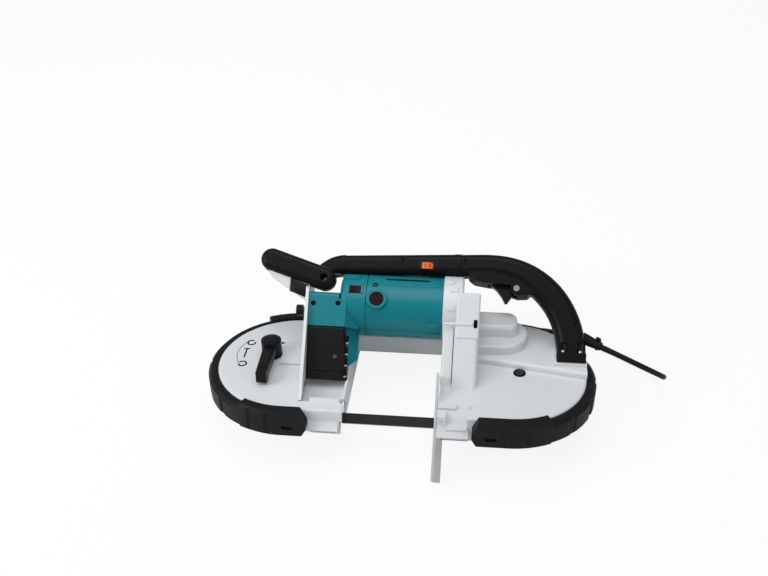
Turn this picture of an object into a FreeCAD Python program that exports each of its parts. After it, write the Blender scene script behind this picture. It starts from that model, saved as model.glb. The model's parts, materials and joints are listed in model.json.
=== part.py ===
import FreeCAD, Part
import os
from math import acos, atan, atan2, cos, degrees, pi, radians, sin, sqrt, tan
from FreeCAD import Vector

os.makedirs("parts", exist_ok=True)

# Portable band saw, in millimetres.
# Saw frame: X along the blade, Y away from the blade, Z along the wheel axes with the motor side up.
# Cut frame: X as before, s away from the cut and c square to the cutting plane, turned 45 degrees about X.

# Cuts and fits
overrun = 2.0
reach = 600.0
fit = 0.05
gap = 0.3

# Frame casting
housing_offset = 13.3
wheel_room = 20.0
frame_low_z = 13.0
face_z = 48.0
face_round = 3.0
shelf_z = 57.0
shelf_x = (62.0, 246.0)
shelf_y = (24.6, -6.8)
shelf_round = 5.0
foot_pad_x = (202.0, 247.0)
foot_pad_y = (8.0, 44.0)
foot_pad_z = 63.0
plate_t = 5.0
wall_t = 3.5
throat_x = (-66.0, 62.0)
throat_lip_x = 54.4
bridge_y = 78.0
bridge_z = (15.0, 41.0)
bridge_wall = 2.4
scoop_x = (-124.0, -69.5)
scoop_y = (-92.0, 0.0)
scoop_axis_y = -45.0
scoop_axis_z = 106.0
scoop_r = 70.0
scoop_floor_z = 33.0
pad_end_x = -131.5
pad_y = (-9.0, 37.0)
pad_t = 3.0

# Rubber bumpers
bumper_t = 13.4
bumper_z = (13.0, 45.0)
bumper_chamfer = 4.0
bumper_far_x = 128.0
bumper_block_t = 15.0
bumper_block_top = 52.0
bumper_block_angle = 28.0
bumper_left_tip = 110.0
bumper_right_tip = 98.0
bumper_tip_x = 8.0
bumper_tip_z = (17.0, 14.0)
bumper_oval_z = 29.0
bumper_oval_r = 3.0
bumper_oval_half = 4.5
bumper_oval_depth = 2.5
bumper_oval_in = 24.0
flute_r = 7.0
flute_out = 4.5
flute_angles = (46.0, 68.0, 90.0, 112.0, 134.0)
flute_left_x = (-159.0, -184.0)
flute_right_x = (140.0, 168.0)

# Wheels and blade
wheel_r = 81.0
tyre_t = 3.0
tyre_w = 14.0
wheel_w = 16.0
wheel_web_t = 6.0
wheel_rim_t = 7.0
wheel_hub_r = 18.0
wheel_hole_r = 11.0
wheel_hole_count = 6
shaft_r = 8.0
blade_length = 1140.0
blade_t = 0.5
blade_w = 13.0
blade_z = 22.5
twist_left = (-147.0, -113.0)
twist_right = (130.0, 96.0)
twist_steps = 6

# Blade guides
guide_left_x = (-109.5, -71.0)
guide_right_x = (54.0, 94.0)
guide_s = (-20.0, 22.0)
guide_c = (-14.0, 20.0)
guide_wall = 4.0
guide_pocket_c = 11.0
guide_slot_c = 2.5
roller_r = 5.0
roller_l = 12.6
guide_pin_r = 2.5
guide_pin_head_r = 4.0
guide_pin_head_t = 1.4
guide_pin_root = 8.0
guide_wheel_room = 1.5
guide_cover_x = (65.0, 92.0)
guide_cover_s = (-10.0, 14.0)
guide_cover_t = 2.0
guide_lip_x = (54.0, 77.0)
guide_lip_s = (17.0, 22.0)
guide_lip_t = 3.0

# Stop plate, measured from the blade's middle along s and c
stop_x = (50.0, 53.0)
stop_s = (-75.0, 63.0)
stop_c = (-16.0, 14.0)
stop_flange_w = 8.0
stop_flange_t = 2.5
stop_flange_top = -19.0
stop_travel = 40.0
stop_slot_c = 2.4
stop_bolt_s = 14.5
stop_bolt_c = 8.2
stop_bolt_r = 3.0
stop_bolt_head_r = 4.2
stop_bolt_head_t = 1.5
stop_bolt_sink = 0.3
stop_bolt_l = 14.0
stop_bolt_slack = 0.3

# Motor
motor_s = 118.6
motor_c = 20.0
motor_r = 41.0
motor_wall = 3.5
motor_x = (-55.5, 52.0)
end_cover_x = (-86.0, -55.5)
end_cover_wall = 7.5
end_cover_round = 8.0
field_x = (-18.0, 34.0)
field_bore = 23.5
core_r = 22.8
core_slot_count = 12
core_slot_w = 3.0
core_slot_depth = 8.0
commutator_x = (-44.0, -28.0)
commutator_r = 13.0
armature_r = 4.0
armature_x = (-80.0, 92.0)
bearing_r = 11.0
bearing_w = 8.0
bearing_rear_x = -81.0
bearing_front_x = 60.0
bearing_boss_r = 15.0
fan_x = (38.0, 46.0)
fan_r = 35.0
fan_disc_t = 3.0
fan_hub_r = 10.0
fan_blade_count = 12
fan_blade_t = 2.0
brush_x = -36.0
brush_w = 8.0
brush_h = 10.0
brush_far = 30.5
brush_hole_r = 7.0
brush_boss_r = 13.0
brush_boss_out = 44.0
brush_cap_r = 9.5
brush_cap_in = 33.5
brush_cap_out = 42.5
brush_cap_slot = 2.0

# Gear train
pressure_angle = 28.0
addendum_share = 0.7
dedendum_share = 0.95
tooth_slack = 0.3
flank_steps = 3
first_module = 1.5
first_teeth = (8, 32)
first_x = (80.0, 90.0)
bevel_module = 1.25
bevel_teeth = (10, 26)
bevel_face = 5.5
bevel_back = 4.0
final_module = 2.0
final_teeth = (9, 63)
final_z = (33.0, 40.0)
final_hole_r = 14.0
final_hole_ring = 40.0
final_hole_count = 6
layshaft_r = 4.5
layshaft_start = 72.0
layshaft_nose_r = 2.8
counter_r = 5.0
counter_z = (31.0, 63.0)

# Gear case and domed gear cover
flange_r = 44.0
flange_x = (52.0, 78.0)
case_x = (70.0, 101.0)
case_r = 32.0
case_round = 3.0
column_round = 6.0
case_room_x = (76.0, 98.0)
case_room_r = 27.5
case_pinion_room_r = 10.0
case_head_s = (70.0, 132.0)
case_head_c = (-8.0, 66.0)
case_rib_s = 92.0
case_rib_c = 64.5
column_x = (69.0, 101.0)
strip_x = (54.0, 69.0)
strip_s = 88.0
strip_c = 60.0
case_back_c = 18.0
cover_flange_t = 13.0
cover_flange_r = 36.0
cover_flange_back = 8.9
cover_flange_y = 62.5
cover_flange_round = 3.0
cover_far = 13.4
cover_half = 20.2
cover_top_z = 86.5
cover_corner = 14.0
cover_round = 7.0
cover_well_r = 17.6
cover_well_sink = 1.0
cover_tunnel_drop = 9.0
cover_wall = 2.7

# Lamp unit
lamp_x = (-127.0, -76.0)
lamp_low_x = (-122.2, -67.7)
lamp_low_s = 10.0
lamp_side_x = -60.0
lamp_back_c = 24.0
lamp_seam_c = 43.5
lamp_front_c = 61.0
lamp_top_s = 126.0
lamp_seam_s = 79.5
lamp_side_drop = 17.0
lamp_wall = 2.5
lamp_round = 6.0
lamp_foot_gap = 0.6
lamp_slot_count = 4
lamp_slot_s = (26.0, 70.0)
lamp_slot_share = 0.55
lamp_slot_c = (50.0, 58.0)
tube_r = 5.0
tube_s = 48.0
tube_c = 50.0
tube_x = (-119.0, -84.0)
tube_cap_t = 4.0
tube_cap_h = 7.0
rocker_x = (-72.5, -58.5)
rocker_s = (126.2, 135.8)
rocker_c = (54.5, 60.0)
rocker_pin_c = 56.5
rocker_pin_r = 1.2
rocker_room = 0.9
rocker_dip = 1.2

# Front grip and its bracket wall
bracket_x = -133.4
bracket_t = 4.0
bracket_y = (100.0, -90.0)
bracket_lean = 9.5
bracket_outline = ((-82.0, 48.0), (49.0, 135.0), (90.5, 133.0), (106.0, 117.0), (80.0, 48.0))
arm_outline = ((-127.0, 112.0), (-127.0, 140.0), (-150.0, 152.0), (-192.0, 168.0), (-181.0, 146.0))
arm_c = (40.0, 56.0)
grip_start = (-180.5, 167.5)
grip_end = (-108.0, 144.5)
grip_r = 15.0
grip_c = (37.0, 63.0)
grip_round = 8.0
grip_screw_r = 5.0
grip_screw_depth = 9.0

# Top and rear handle: X, s, half thickness and half width of each section
link_stations = (
    (-127.0, 144.0, 11.6, 13.0), (-117.0, 155.0, 12.4, 14.0), (-105.0, 165.5, 12.8, 15.0),
    (-88.0, 171.3, 13.2, 15.0))
link_end = (64.0, 178.2, 14.4, 15.5)
rear_stations = (
    link_end, (98.0, 179.6, 14.4, 16.0), (128.0, 178.8, 14.6, 16.5),
    (160.0, 168.6, 16.4, 17.0), (187.0, 149.6, 17.8, 17.0), (208.5, 122.0, 18.2, 17.2),
    (218.0, 100.0, 18.6, 17.4), (222.8, 79.0, 19.0, 17.8), (223.6, 51.5, 19.0, 18.0))
web_outline = (
    (80.0, 176.0), (84.0, 162.0), (92.0, 156.0), (112.0, 153.0), (139.0, 153.0), (145.0, 142.0),
    (150.0, 138.5),
    (164.0, 139.5), (176.0, 150.0), (160.0, 168.0), (120.0, 178.0))
web_half = 15.0
foot_block_x = (204.2, 243.0)
foot_block_s = (51.0, 64.5)
foot_block_half = 18.6
foot_block_round = 3.0
foot_scallop_x = (212.5, 235.0)
foot_scallop_r = 5.0
foot_scallop_c = 39.0
foot_scallop_top = 78.0
handle_wall = 3.2
handle_seam = 0.04
handle_corner_share = 0.62
dial_x = 27.0
dial_s = (169.2, 178.0)
dial_c = 22.0
dial_r = 15.0
dial_room = 0.6
dial_pin_r = 2.5
dial_notch_count = 24
dial_notch_r = 0.8
trigger_outline = (
    (112.5, 174.0), (138.5, 174.0), (138.5, 153.0), (145.0, 142.5), (136.5, 130.0), (133.5, 130.0),
    (129.0, 138.0), (122.5, 146.5), (112.5, 154.5))
trigger_half = 5.5
trigger_room_x = (109.5, 150.0)
trigger_room_s = (128.0, 178.0)
trigger_room_c = 6.1
trigger_pivot = (117.0, 170.0)
trigger_pin_r = 2.0
lock_x = 147.5
lock_s = 147.5
lock_boss_r = 7.5
lock_boss_half = 16.5
lock_r = 4.0
lock_c = (31.0, 38.5)
lock_room = 4.0
switch_x = (110.0, 138.0)
switch_s = (177.5, 186.5)
switch_half = 8.0
switch_rib_t = 3.0

# Tension mechanism
lever_back = 19.1
pad_lever_gap = 1.0
lever_y = 13.0
lever_hub_r = 13.5
lever_hub_z = (48.4, 72.0)
lever_arm_half = (8.5, 7.0)
lever_arm_z = (57.0, 68.5)
lever_tip_y = -57.0
lever_tip_l = 13.0
lever_tip_z = 53.0
cam_r = 6.0
cam_top_z = 56.0
cam_pin_r = 3.0
cam_offset = 2.0
cam_pin_z = 36.0
slide_ends = (-35.1, 23.9)
slide_y = (-16.0, 30.0)
slide_z = (34.5, 42.9)
slide_slot_half = 3.9
slide_slot_l = 9.0
rail_w = 5.0
rail_lip = 3.0
rail_lip_t = 1.4
axle_foot_z = 9.5
axle_head_r = 13.0
axle_head_t = 4.5

# Cord
cord_d = 7.5
guard_start = (238.0, 88.5)
guard_end = (264.0, 77.2)
guard_r = (8.0, 5.5)
guard_ring_r = 7.0
guard_ring_t = 3.0
bend_share = 0.45
coil_in = 31.0
coil_pitch = 8.1
coil_turns = 3.25
coil_step_share = 1 / 600
coil_x = 2.0
coil_y = 188.0
coil_tail = 37.0
tie_t = 1.0
tie_w = 14.0
tie_angle = 200.0
plug_l = 36.0
plug_r = (6.5, 11.5)
plug_pin = (1.6, 6.4, 17.0)
plug_pin_gap = 12.7
cord_straight = 30.0
cord_route = (
    (350.0, 18.5, 49.0), (355.0, 56.1, 8.0), (270.0, 110.8, 3.8), (200.0, 138.0, 3.8))
cord_last_run = 90.0
coil_start_angle = -pi / 2

root_half = sqrt(0.5)
wheel_cut_r = wheel_r + gap
blade_r = wheel_cut_r + blade_t / 2
wheel_x = (blade_length - 2 * pi * blade_r) / 4
housing_x = wheel_x - housing_offset
housing_r = wheel_r + wheel_room
lever_x = -wheel_x - lever_back
slide_x = [slide_end - wheel_x for slide_end in slide_ends]
pad_x = (lever_x + lever_hub_r + pad_lever_gap, pad_end_x)
wheel_z = (blade_z - wheel_w / 2, blade_z + wheel_w / 2)
blade_s = (blade_z - blade_r) * root_half
blade_c = (blade_z + blade_r) * root_half
motor_y = (motor_s - motor_c) * root_half
motor_z = (motor_s + motor_c) * root_half
lay_z = motor_z - first_module * sum(first_teeth) / 2
final_span = final_module * sum(final_teeth) / 2
counter_x = wheel_x - sqrt(final_span ** 2 - motor_y ** 2)
lay_s = (motor_y + lay_z) * root_half
lay_c = (lay_z - motor_y) * root_half
along_x = Vector(1, 0, 0)
along_z = Vector(0, 0, 1)


def block(x, y, z):
    """Box between three pairs of limits."""
    low = Vector(min(x), min(y), min(z))
    high = Vector(max(x), max(y), max(z))
    size = high - low
    return Part.makeBox(size.x, size.y, size.z, low)


def eased(shape, radius, chosen):
    """Shape with the edges rounded whose box passes a test."""
    return shape.makeFillet(radius, [edge for edge in shape.Edges if chosen(edge.BoundBox)])


def rod(radius, start, end):
    """Round bar between two points."""
    run = Vector(*end) - Vector(*start)
    return Part.makeCylinder(radius, run.Length, Vector(*start), run)


def ring(radius, bore, start, end):
    """Round tube between two points."""
    return rod(radius, start, end).cut(rod(bore, start, end))


def face_of(points):
    """Flat face inside a closed row of points."""
    corners = [Vector(*point) for point in points]
    return Part.Face(Part.makePolygon(corners + corners[:1]))


def prism_x(outline, x):
    """Prism along X on an outline of the two other axes."""
    base = face_of([(x[0], second, third) for second, third in outline])
    return base.extrude(Vector(x[1] - x[0], 0, 0))


def prism_y(outline, y):
    """Prism along the second axis on an outline of X and the third axis."""
    base = face_of([(first, y[0], third) for first, third in outline])
    return base.extrude(Vector(0, y[1] - y[0], 0))


def prism_z(outline, z):
    """Prism along the third axis on an outline of X and the second axis."""
    base = face_of([(first, second, z[0]) for first, second in outline])
    return base.extrude(Vector(0, 0, z[1] - z[0]))


def to_saw(shape):
    """Turn a shape from the cut frame into the saw frame."""
    turned = shape.copy()
    turned.rotate(Vector(), along_x, degrees(atan(1)))
    return turned


def to_cut(shape):
    """Turn a shape from the saw frame into the cut frame."""
    turned = shape.copy()
    turned.rotate(Vector(), along_x, -degrees(atan(1)))
    return turned


def saw_point(x, s, c):
    """Point of the cut frame, given in the saw frame."""
    return Vector(x, (s - c) * root_half, (s + c) * root_half)


def single(shape):
    """Largest solid of a shape, with split faces joined again."""
    return max(shape.removeSplitter().Solids, key=lambda solid: solid.Volume)


def stadium(radius, z):
    """Prism with two round ends, as long as the frame."""
    ends = [rod(radius, (x, 0, z[0]), (x, 0, z[1])) for x in (-housing_x, housing_x)]
    return block((-housing_x, housing_x), (-radius, radius), z).fuse(ends).removeSplitter()


def shelf_outline(inset):
    """Raised far part of the right housing, seen from above."""
    left = shelf_x[0] + inset
    right = shelf_x[1]
    return ((left, shelf_y[0] + inset), (right, shelf_y[1] + inset), (right, housing_r), (left, housing_r))


def raised_shelf(low):
    """Raised far part of the right housing with the pad under the handle's foot."""
    shelf = prism_z(shelf_outline(0), (low, shelf_z))
    front = max(shelf_y)
    shelf = eased(shelf, shelf_round, lambda box: box.ZMin > shelf_z - fit and box.YMax < front + fit)
    pad = block(foot_pad_x, foot_pad_y, (low, foot_pad_z))
    pad = eased(pad, shelf_round, lambda box: box.ZMin > foot_pad_z - fit and box.YMax < foot_pad_y[0] + fit)
    return shelf.fuse(pad).common(stadium(housing_r, (low, reach)))


def frame_envelope():
    """Everything that the frame's outer faces enclose, down from the faces."""
    low = block((-reach, reach), (-reach, reach), (-reach, face_z))
    return low.fuse(raised_shelf(face_z - overrun))


def guide_envelope(x):
    """Outer block of one blade guide."""
    s = [blade_s + value for value in guide_s]
    c = [blade_c + value for value in guide_c]
    return to_saw(block(x, s, c))


def frame_rooms():
    """Hollows inside the housings and the bridge."""
    inner = stadium(housing_r - wall_t, (-overrun, face_z - plate_t))
    left = inner.common(block((-reach, throat_x[0] - wall_t), (-reach, reach), (-reach, reach)))
    right = inner.common(block((throat_x[1] + wall_t, reach), (-reach, reach), (-reach, reach)))
    shelf = stadium(housing_r - wall_t, (0, shelf_z - plate_t))
    shelf = shelf.common(prism_z(shelf_outline(wall_t), (0, shelf_z)))
    bridge_x = (throat_x[0] - wall_t - overrun, throat_x[1] + wall_t + overrun)
    bridge = block(bridge_x, (bridge_y + bridge_wall, housing_r - wall_t), (-overrun, bridge_z[1] - wall_t))
    return [left, right, shelf, bridge]


def throat():
    """Space for the work between the housings, and the room above and below the bridge."""
    work = block(throat_x, (-reach, bridge_y), (-reach, reach))
    above = block(throat_x, (-reach, reach), (bridge_z[1], reach))
    below = block(throat_x, (-reach, reach), (-reach, bridge_z[0]))
    return [work, above, below]


def slide_rails():
    """Two rails under the left face that carry the tension slide."""
    rails = []
    top = face_z - plate_t
    seat = slide_z[0] - fit
    length = (slide_x[0] - overrun, scoop_x[0])
    for edge, side in ((slide_y[0] - fit, -1), (slide_y[1] + fit, 1)):
        web = block(length, (edge, edge + side * rail_w), (seat - rail_lip_t, top))
        lip = block(length, (edge - side * rail_lip, edge), (seat - rail_lip_t, seat))
        rails += [web, lip]
    return rails


def gear_opening():
    """Room through the shelf for the first gear."""
    return rod(case_room_r, (case_room_x[0], motor_y, lay_z), (case_room_x[1], motor_y, lay_z))


def gear_well(top):
    """Round room for the bevel wheel, sunk a little into the shelf."""
    return rod(cover_well_r, (counter_x, motor_y, shelf_z - cover_well_sink), (counter_x, motor_y, top))


def guide_plates(high):
    """Cover plate and lip on the right guide, from the guide's front to a height each."""
    front = blade_c + guide_c[1]
    plates = []
    sizes = ((guide_cover_x, guide_cover_s, guide_cover_t), (guide_lip_x, guide_lip_s, guide_lip_t))
    for x, s, top in sizes:
        plates.append(block(x, [blade_s + value for value in s], (front - overrun, front + max(top, high))))
    return plates


def main_frame():
    """Cast frame: left and right wheel housings with the bridge between them."""
    body = stadium(housing_r, (frame_low_z, face_z))
    body = eased(body, face_round, lambda box: box.ZMin > face_z - fit)
    body = body.fuse(raised_shelf(frame_low_z))
    body = body.cut(throat()).cut(frame_rooms())
    scoop_fill = block((scoop_x[0], throat_x[0]), scoop_y, (scoop_floor_z, face_z))
    pad = block(pad_x, pad_y, (face_z, face_z + pad_t))
    lip = block((throat_lip_x, throat_x[1] + wall_t), (-housing_r, bridge_y), (face_z - plate_t, face_z))
    body = body.fuse([scoop_fill, pad, lip] + slide_rails())
    scoop = rod(scoop_r, (scoop_x[0], scoop_axis_y, scoop_axis_z), (scoop_x[1], scoop_axis_y, scoop_axis_z))
    lever_hole = rod(cam_r + fit, (lever_x, lever_y, scoop_floor_z), (lever_x, lever_y, reach))
    drive_hole = rod(shaft_r + fit, (wheel_x, 0, scoop_floor_z), (wheel_x, 0, reach))
    counter_hole = rod(counter_r + fit, (counter_x, motor_y, face_z), (counter_x, motor_y, reach))
    body = body.cut([scoop, lever_hole, drive_hole, counter_hole, gear_opening(), gear_well(reach)])
    left_guide = guide_envelope((guide_left_x[0], throat_x[0] + overrun))
    body = body.cut([left_guide, guide_envelope(guide_right_x)])
    return single(body.cut([to_saw(plate) for plate in guide_plates(reach)]))


def bumper_profile(thick, low, high):
    """Cross-section of a bumper on its near side: distance from the housing's middle line, and height."""
    outer = housing_r + thick
    cut = bumper_chamfer
    return (
        (housing_r, low), (outer - cut, low), (outer, low + cut), (outer, high - cut), (outer - cut, high),
        (housing_r, high))


def bumper_face(side, profile, way):
    """Bumper section on the near (-1) or far (1) side, where a housing's round end starts."""
    return face_of([(side * housing_x, way * radius, height) for radius, height in profile])


def bumper_bend(side, profile, way, angle):
    """Bumper section led around a housing's end by an angle from the near (-1) or far (1) side."""
    centre = Vector(side * housing_x, 0, 0)
    return bumper_face(side, profile, way).revolve(centre, along_z, -side * way * angle)


def bumper_run(side, profile, way, end):
    """Straight stretch of a bumper from the housing's round end towards the middle."""
    return bumper_face(side, profile, way).extrude(Vector(side * (end - housing_x), 0, 0))


def bumper_tools(side, tip, grooves):
    """Cuts of a bumper: slanted tip, flutes around the end, two grooves and the oval recess."""
    low, top = bumper_z[0], bumper_block_top
    end, inner = side * tip, side * (tip + bumper_tip_x)
    outside = side * (tip - overrun)
    near = (-reach, 0)
    high_cut = ((inner, top), (end, top - bumper_tip_z[0]), (outside, top - bumper_tip_z[0]), (outside, top))
    low_cut = ((inner, low), (end, low + bumper_tip_z[1]), (outside, low + bumper_tip_z[1]), (outside, low))
    tools = [prism_y(high_cut, near), prism_y(low_cut, near)]
    turn = housing_r + bumper_t + flute_out
    places = []
    for angle in flute_angles:
        places.append((side * (housing_x + turn * sin(radians(angle))), -turn * cos(radians(angle))))
    block_turn = housing_r + bumper_block_t + flute_out
    for x in grooves:
        over = max(abs(x) - housing_x, 0)
        places.append((x, -sqrt(block_turn ** 2 - over ** 2)))
    tools += [rod(flute_r, (*place, -overrun), (*place, reach)) for place in places]
    wall = -housing_r - bumper_block_t
    depth = (wall - overrun, wall + bumper_oval_depth)
    middle = side * (tip + bumper_oval_in)
    ends = [middle - bumper_oval_half, middle + bumper_oval_half]
    oval = block(ends, depth, (bumper_oval_z - bumper_oval_r, bumper_oval_z + bumper_oval_r))
    rounds = [rod(bumper_oval_r, (x, depth[0], bumper_oval_z), (x, depth[1], bumper_oval_z)) for x in ends]
    return tools + [oval.fuse(rounds)]


def bumper(side, tip, grooves):
    """Rubber guard around one housing's round end, with its thicker blocks at the near and the far side."""
    thin = bumper_profile(bumper_t, *bumper_z)
    thick = bumper_profile(bumper_block_t, bumper_z[0], bumper_block_top)
    body = bumper_bend(side, thin, -1, degrees(pi)).fuse([
        bumper_bend(side, thick, -1, bumper_block_angle), bumper_run(side, thick, -1, tip),
        bumper_bend(side, thick, 1, bumper_block_angle), bumper_run(side, thick, 1, bumper_far_x)])
    return single(body.cut(bumper_tools(side, tip, grooves)))


def wheel(x):
    """Spoked wheel without its tyre."""
    low, high = wheel_z
    rim_r = wheel_r - tyre_t
    body = ring(rim_r, rim_r - wheel_rim_t, (x, 0, low), (x, 0, high))
    web = (blade_z - wheel_web_t / 2, blade_z + wheel_web_t / 2)
    disc = rod(rim_r - wheel_rim_t / 2, (x, 0, web[0]), (x, 0, web[1]))
    hub = rod(wheel_hub_r, (x, 0, low), (x, 0, high))
    body = body.fuse([disc, hub])
    hole_ring = (rim_r - wheel_rim_t + wheel_hub_r) / 2
    for index in range(wheel_hole_count):
        angle = 2 * pi * index / wheel_hole_count
        centre = (x + hole_ring * cos(angle), hole_ring * sin(angle))
        body = body.cut(rod(wheel_hole_r, (*centre, low), (*centre, high)))
    return body


def bored_wheel(x, bore):
    """Wheel with its shaft hole."""
    return single(wheel(x).cut(rod(bore, (x, 0, -overrun), (x, 0, reach))))


def tyre(x):
    """Rubber band on a wheel's rim."""
    low, high = blade_z - tyre_w / 2, blade_z + tyre_w / 2
    return ring(wheel_r, wheel_r - tyre_t, (x, 0, low), (x, 0, high))


def blade_section(x, share):
    """Blade's cross section in the near span, turned by a share of the cutting angle."""
    turn = share * atan(1)
    flat = Vector(0, cos(turn), sin(turn))
    tall = Vector(0, -sin(turn), cos(turn))
    middle = Vector(x, -blade_r, blade_z)
    corners = []
    for first, second in ((-1, -1), (1, -1), (1, 1), (-1, 1)):
        corners.append(middle + flat * (first * blade_t / 2) + tall * (second * blade_w / 2))
    return Part.makePolygon(corners + corners[:1])


def smooth(share):
    """Rise from nothing to one with level ends."""
    return share * share * (3 - 2 * share)


def blade_twist(ends):
    """Stretch of the near span where the blade turns to the cutting angle."""
    sections = []
    for index in range(twist_steps + 1):
        share = index / twist_steps
        sections.append(blade_section(ends[0] + share * (ends[1] - ends[0]), -smooth(share)))
    return Part.makeLoft(sections, True, False)


def saw_blade():
    """Closed band over both wheels, turned 45 degrees between the guides."""
    low, high = blade_z - blade_w / 2, blade_z + blade_w / 2
    outer = wheel_cut_r + blade_t
    parts = []
    for side in (-1, 1):
        x = side * wheel_x
        bend = ring(outer, wheel_cut_r, (x, 0, low), (x, 0, high))
        parts.append(bend.common(block((x, x + side * reach), (-reach, reach), (low, high))))
    parts.append(block((-wheel_x, wheel_x), (wheel_cut_r, outer), (low, high)))
    parts.append(block((-wheel_x, twist_left[0]), (-outer, -wheel_cut_r), (low, high)))
    parts.append(block((twist_right[0], wheel_x), (-outer, -wheel_cut_r), (low, high)))
    cut_s = (blade_s - blade_w / 2, blade_s + blade_w / 2)
    cut_c = (blade_c - blade_t / 2, blade_c + blade_t / 2)
    parts.append(to_saw(block((twist_left[1], twist_right[1]), cut_s, cut_c)))
    parts += [blade_twist(twist_left), blade_twist(twist_right)]
    return single(parts[0].fuse(parts[1:]))


def guide_block(x):
    """Blade guide with the pins of its two rollers."""
    body = to_cut(guide_envelope(x))
    low = blade_s + guide_s[0] - overrun
    top = blade_s + blade_w / 2 + gap
    inside = (x[0] + guide_wall, x[1] - guide_wall)
    pocket = block(inside, (low, top), (blade_c - guide_pocket_c, blade_c + guide_pocket_c))
    slot_c = (blade_c - guide_slot_c, blade_c + guide_slot_c)
    slot = block((x[0] - overrun, x[1] + overrun), (low, top), slot_c)
    wheel_rooms = []
    for wheel_place in (-wheel_x, 2 * cam_offset - wheel_x, wheel_x):
        ends = ((wheel_place, 0, -overrun), (wheel_place, 0, face_z - plate_t))
        wheel_rooms.append(to_cut(rod(wheel_r + guide_wheel_room, *ends)))
    body = body.cut([pocket, slot] + wheel_rooms)
    middle = sum(x) / 2
    for c in roller_axes():
        end = blade_s - roller_l / 2 - gap
        pin = rod(guide_pin_r, (middle, end, c), (middle, top + guide_pin_root, c))
        head = rod(guide_pin_head_r, (middle, end - guide_pin_head_t, c), (middle, end, c))
        body = body.fuse([pin, head])
    return body


def roller_axes():
    """Places of the two rollers on either side of the blade."""
    offset = roller_r + gap + blade_t / 2
    return (blade_c + offset, blade_c - offset)


def guide_roller(x, c):
    """Roller that bears on one face of the blade."""
    middle = sum(x) / 2
    ends = (blade_s - roller_l / 2, blade_s + roller_l / 2)
    return to_saw(ring(roller_r, guide_pin_r + fit, (middle, ends[0], c), (middle, ends[1], c)))


def guide_right():
    """Right guide, drilled for the stop plate's bolts."""
    body = guide_block(guide_right_x)
    body = body.fuse(guide_plates(0))
    for c in stop_bolt_places():
        s = blade_s + stop_bolt_s
        hole = rod(stop_bolt_r, (guide_right_x[0] - overrun, s, c), (stop_x[0] + stop_bolt_l, s, c))
        body = body.cut(hole)
    return to_saw(single(body))


def stop_bolt_places():
    """Two bolt lines of the stop plate."""
    return (blade_c + stop_bolt_c, blade_c - stop_bolt_c)


def stop_plate():
    """Steel plate that rests on the work, with slots for the blade and the bolts."""
    s = [blade_s + value for value in stop_s]
    c = [blade_c + value for value in stop_c]
    web = block(stop_x, s, c)
    flange_s = (s[0], blade_s + stop_flange_top)
    flange = block((stop_x[0], stop_x[1] + stop_flange_w), flange_s, (c[0] - stop_flange_t, c[0]))
    web = web.fuse(flange)
    deep = (stop_x[0] - overrun, stop_x[1] + overrun)
    blade_slot = (blade_s - blade_w - stop_travel, blade_s + blade_w)
    tools = [block(deep, blade_slot, (blade_c - stop_slot_c, blade_c + stop_slot_c))]
    half = stop_bolt_r + stop_bolt_slack
    for line in stop_bolt_places():
        top = blade_s + stop_bolt_s
        tools.append(block(deep, (top - stop_travel, top), (line - half, line + half)))
        tools += [rod(half, (deep[0], s_end, line), (deep[1], s_end, line))
                  for s_end in (top - stop_travel, top)]
        wide = stop_bolt_head_r + stop_bolt_slack
        sunk = (stop_x[0] - overrun, stop_x[0] + stop_bolt_sink + stop_bolt_head_t)
        tools.append(block(sunk, (top - stop_travel, top), (line - wide, line + wide)))
        tools += [rod(wide, (sunk[0], s_end, line), (sunk[1], s_end, line))
                  for s_end in (top - stop_travel, top)]
    return to_saw(single(web.cut(tools)))


def stop_bolt(c):
    """Bolt that clamps the stop plate to the right guide."""
    s = blade_s + stop_bolt_s
    start = stop_x[0] + stop_bolt_sink
    shank = rod(stop_bolt_r, (start, s, c), (stop_x[0] + stop_bolt_l, s, c))
    head = rod(stop_bolt_head_r, (start, s, c), (start + stop_bolt_head_t, s, c))
    return to_saw(shank.fuse(head).removeSplitter())


def motor_rod(radius, x):
    """Round bar on the motor's axis, in the cut frame."""
    return rod(radius, (x[0], motor_s, motor_c), (x[1], motor_s, motor_c))


def brush_rod(side, radius, near, far):
    """Round bar across the motor at the brushes, on one side of its axis."""
    start = (brush_x, motor_s, motor_c + side * near)
    return rod(radius, start, (brush_x, motor_s, motor_c + side * far))


def motor_housing():
    """Motor's main housing with two brush holders."""
    body = motor_rod(motor_r, motor_x)
    bosses = [brush_rod(side, brush_boss_r, brush_far, brush_boss_out) for side in (-1, 1)]
    body = body.fuse(bosses).cut(motor_rod(motor_r - motor_wall, motor_x))
    inner_bosses = [brush_rod(side, brush_boss_r, brush_far, motor_r - overrun) for side in (-1, 1)]
    body = body.fuse(inner_bosses)
    for side in (-1, 1):
        hole = brush_rod(side, brush_hole_r, commutator_r, brush_boss_out)
        seat = brush_rod(side, brush_cap_r, brush_cap_in, reach)
        body = body.cut([hole, seat])
    return to_saw(single(body))


def brush(side):
    """Carbon brush on the commutator."""
    limits = sorted((motor_c + side * (commutator_r + gap), motor_c + side * brush_cap_in))
    x = (brush_x - brush_w / 2, brush_x + brush_w / 2)
    return to_saw(block(x, (motor_s - brush_h / 2, motor_s + brush_h / 2), limits))


def brush_cap(side):
    """Screw cap over one brush."""
    cap = brush_rod(side, brush_cap_r, brush_cap_in, brush_cap_out)
    limits = sorted((motor_c + side * (brush_cap_out - brush_cap_slot), motor_c + side * brush_boss_out))
    half = brush_cap_slot / 2
    slot = block((brush_x - brush_cap_r, brush_x + brush_cap_r), (motor_s - half, motor_s + half), limits)
    return to_saw(single(cap.cut(slot)))


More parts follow.
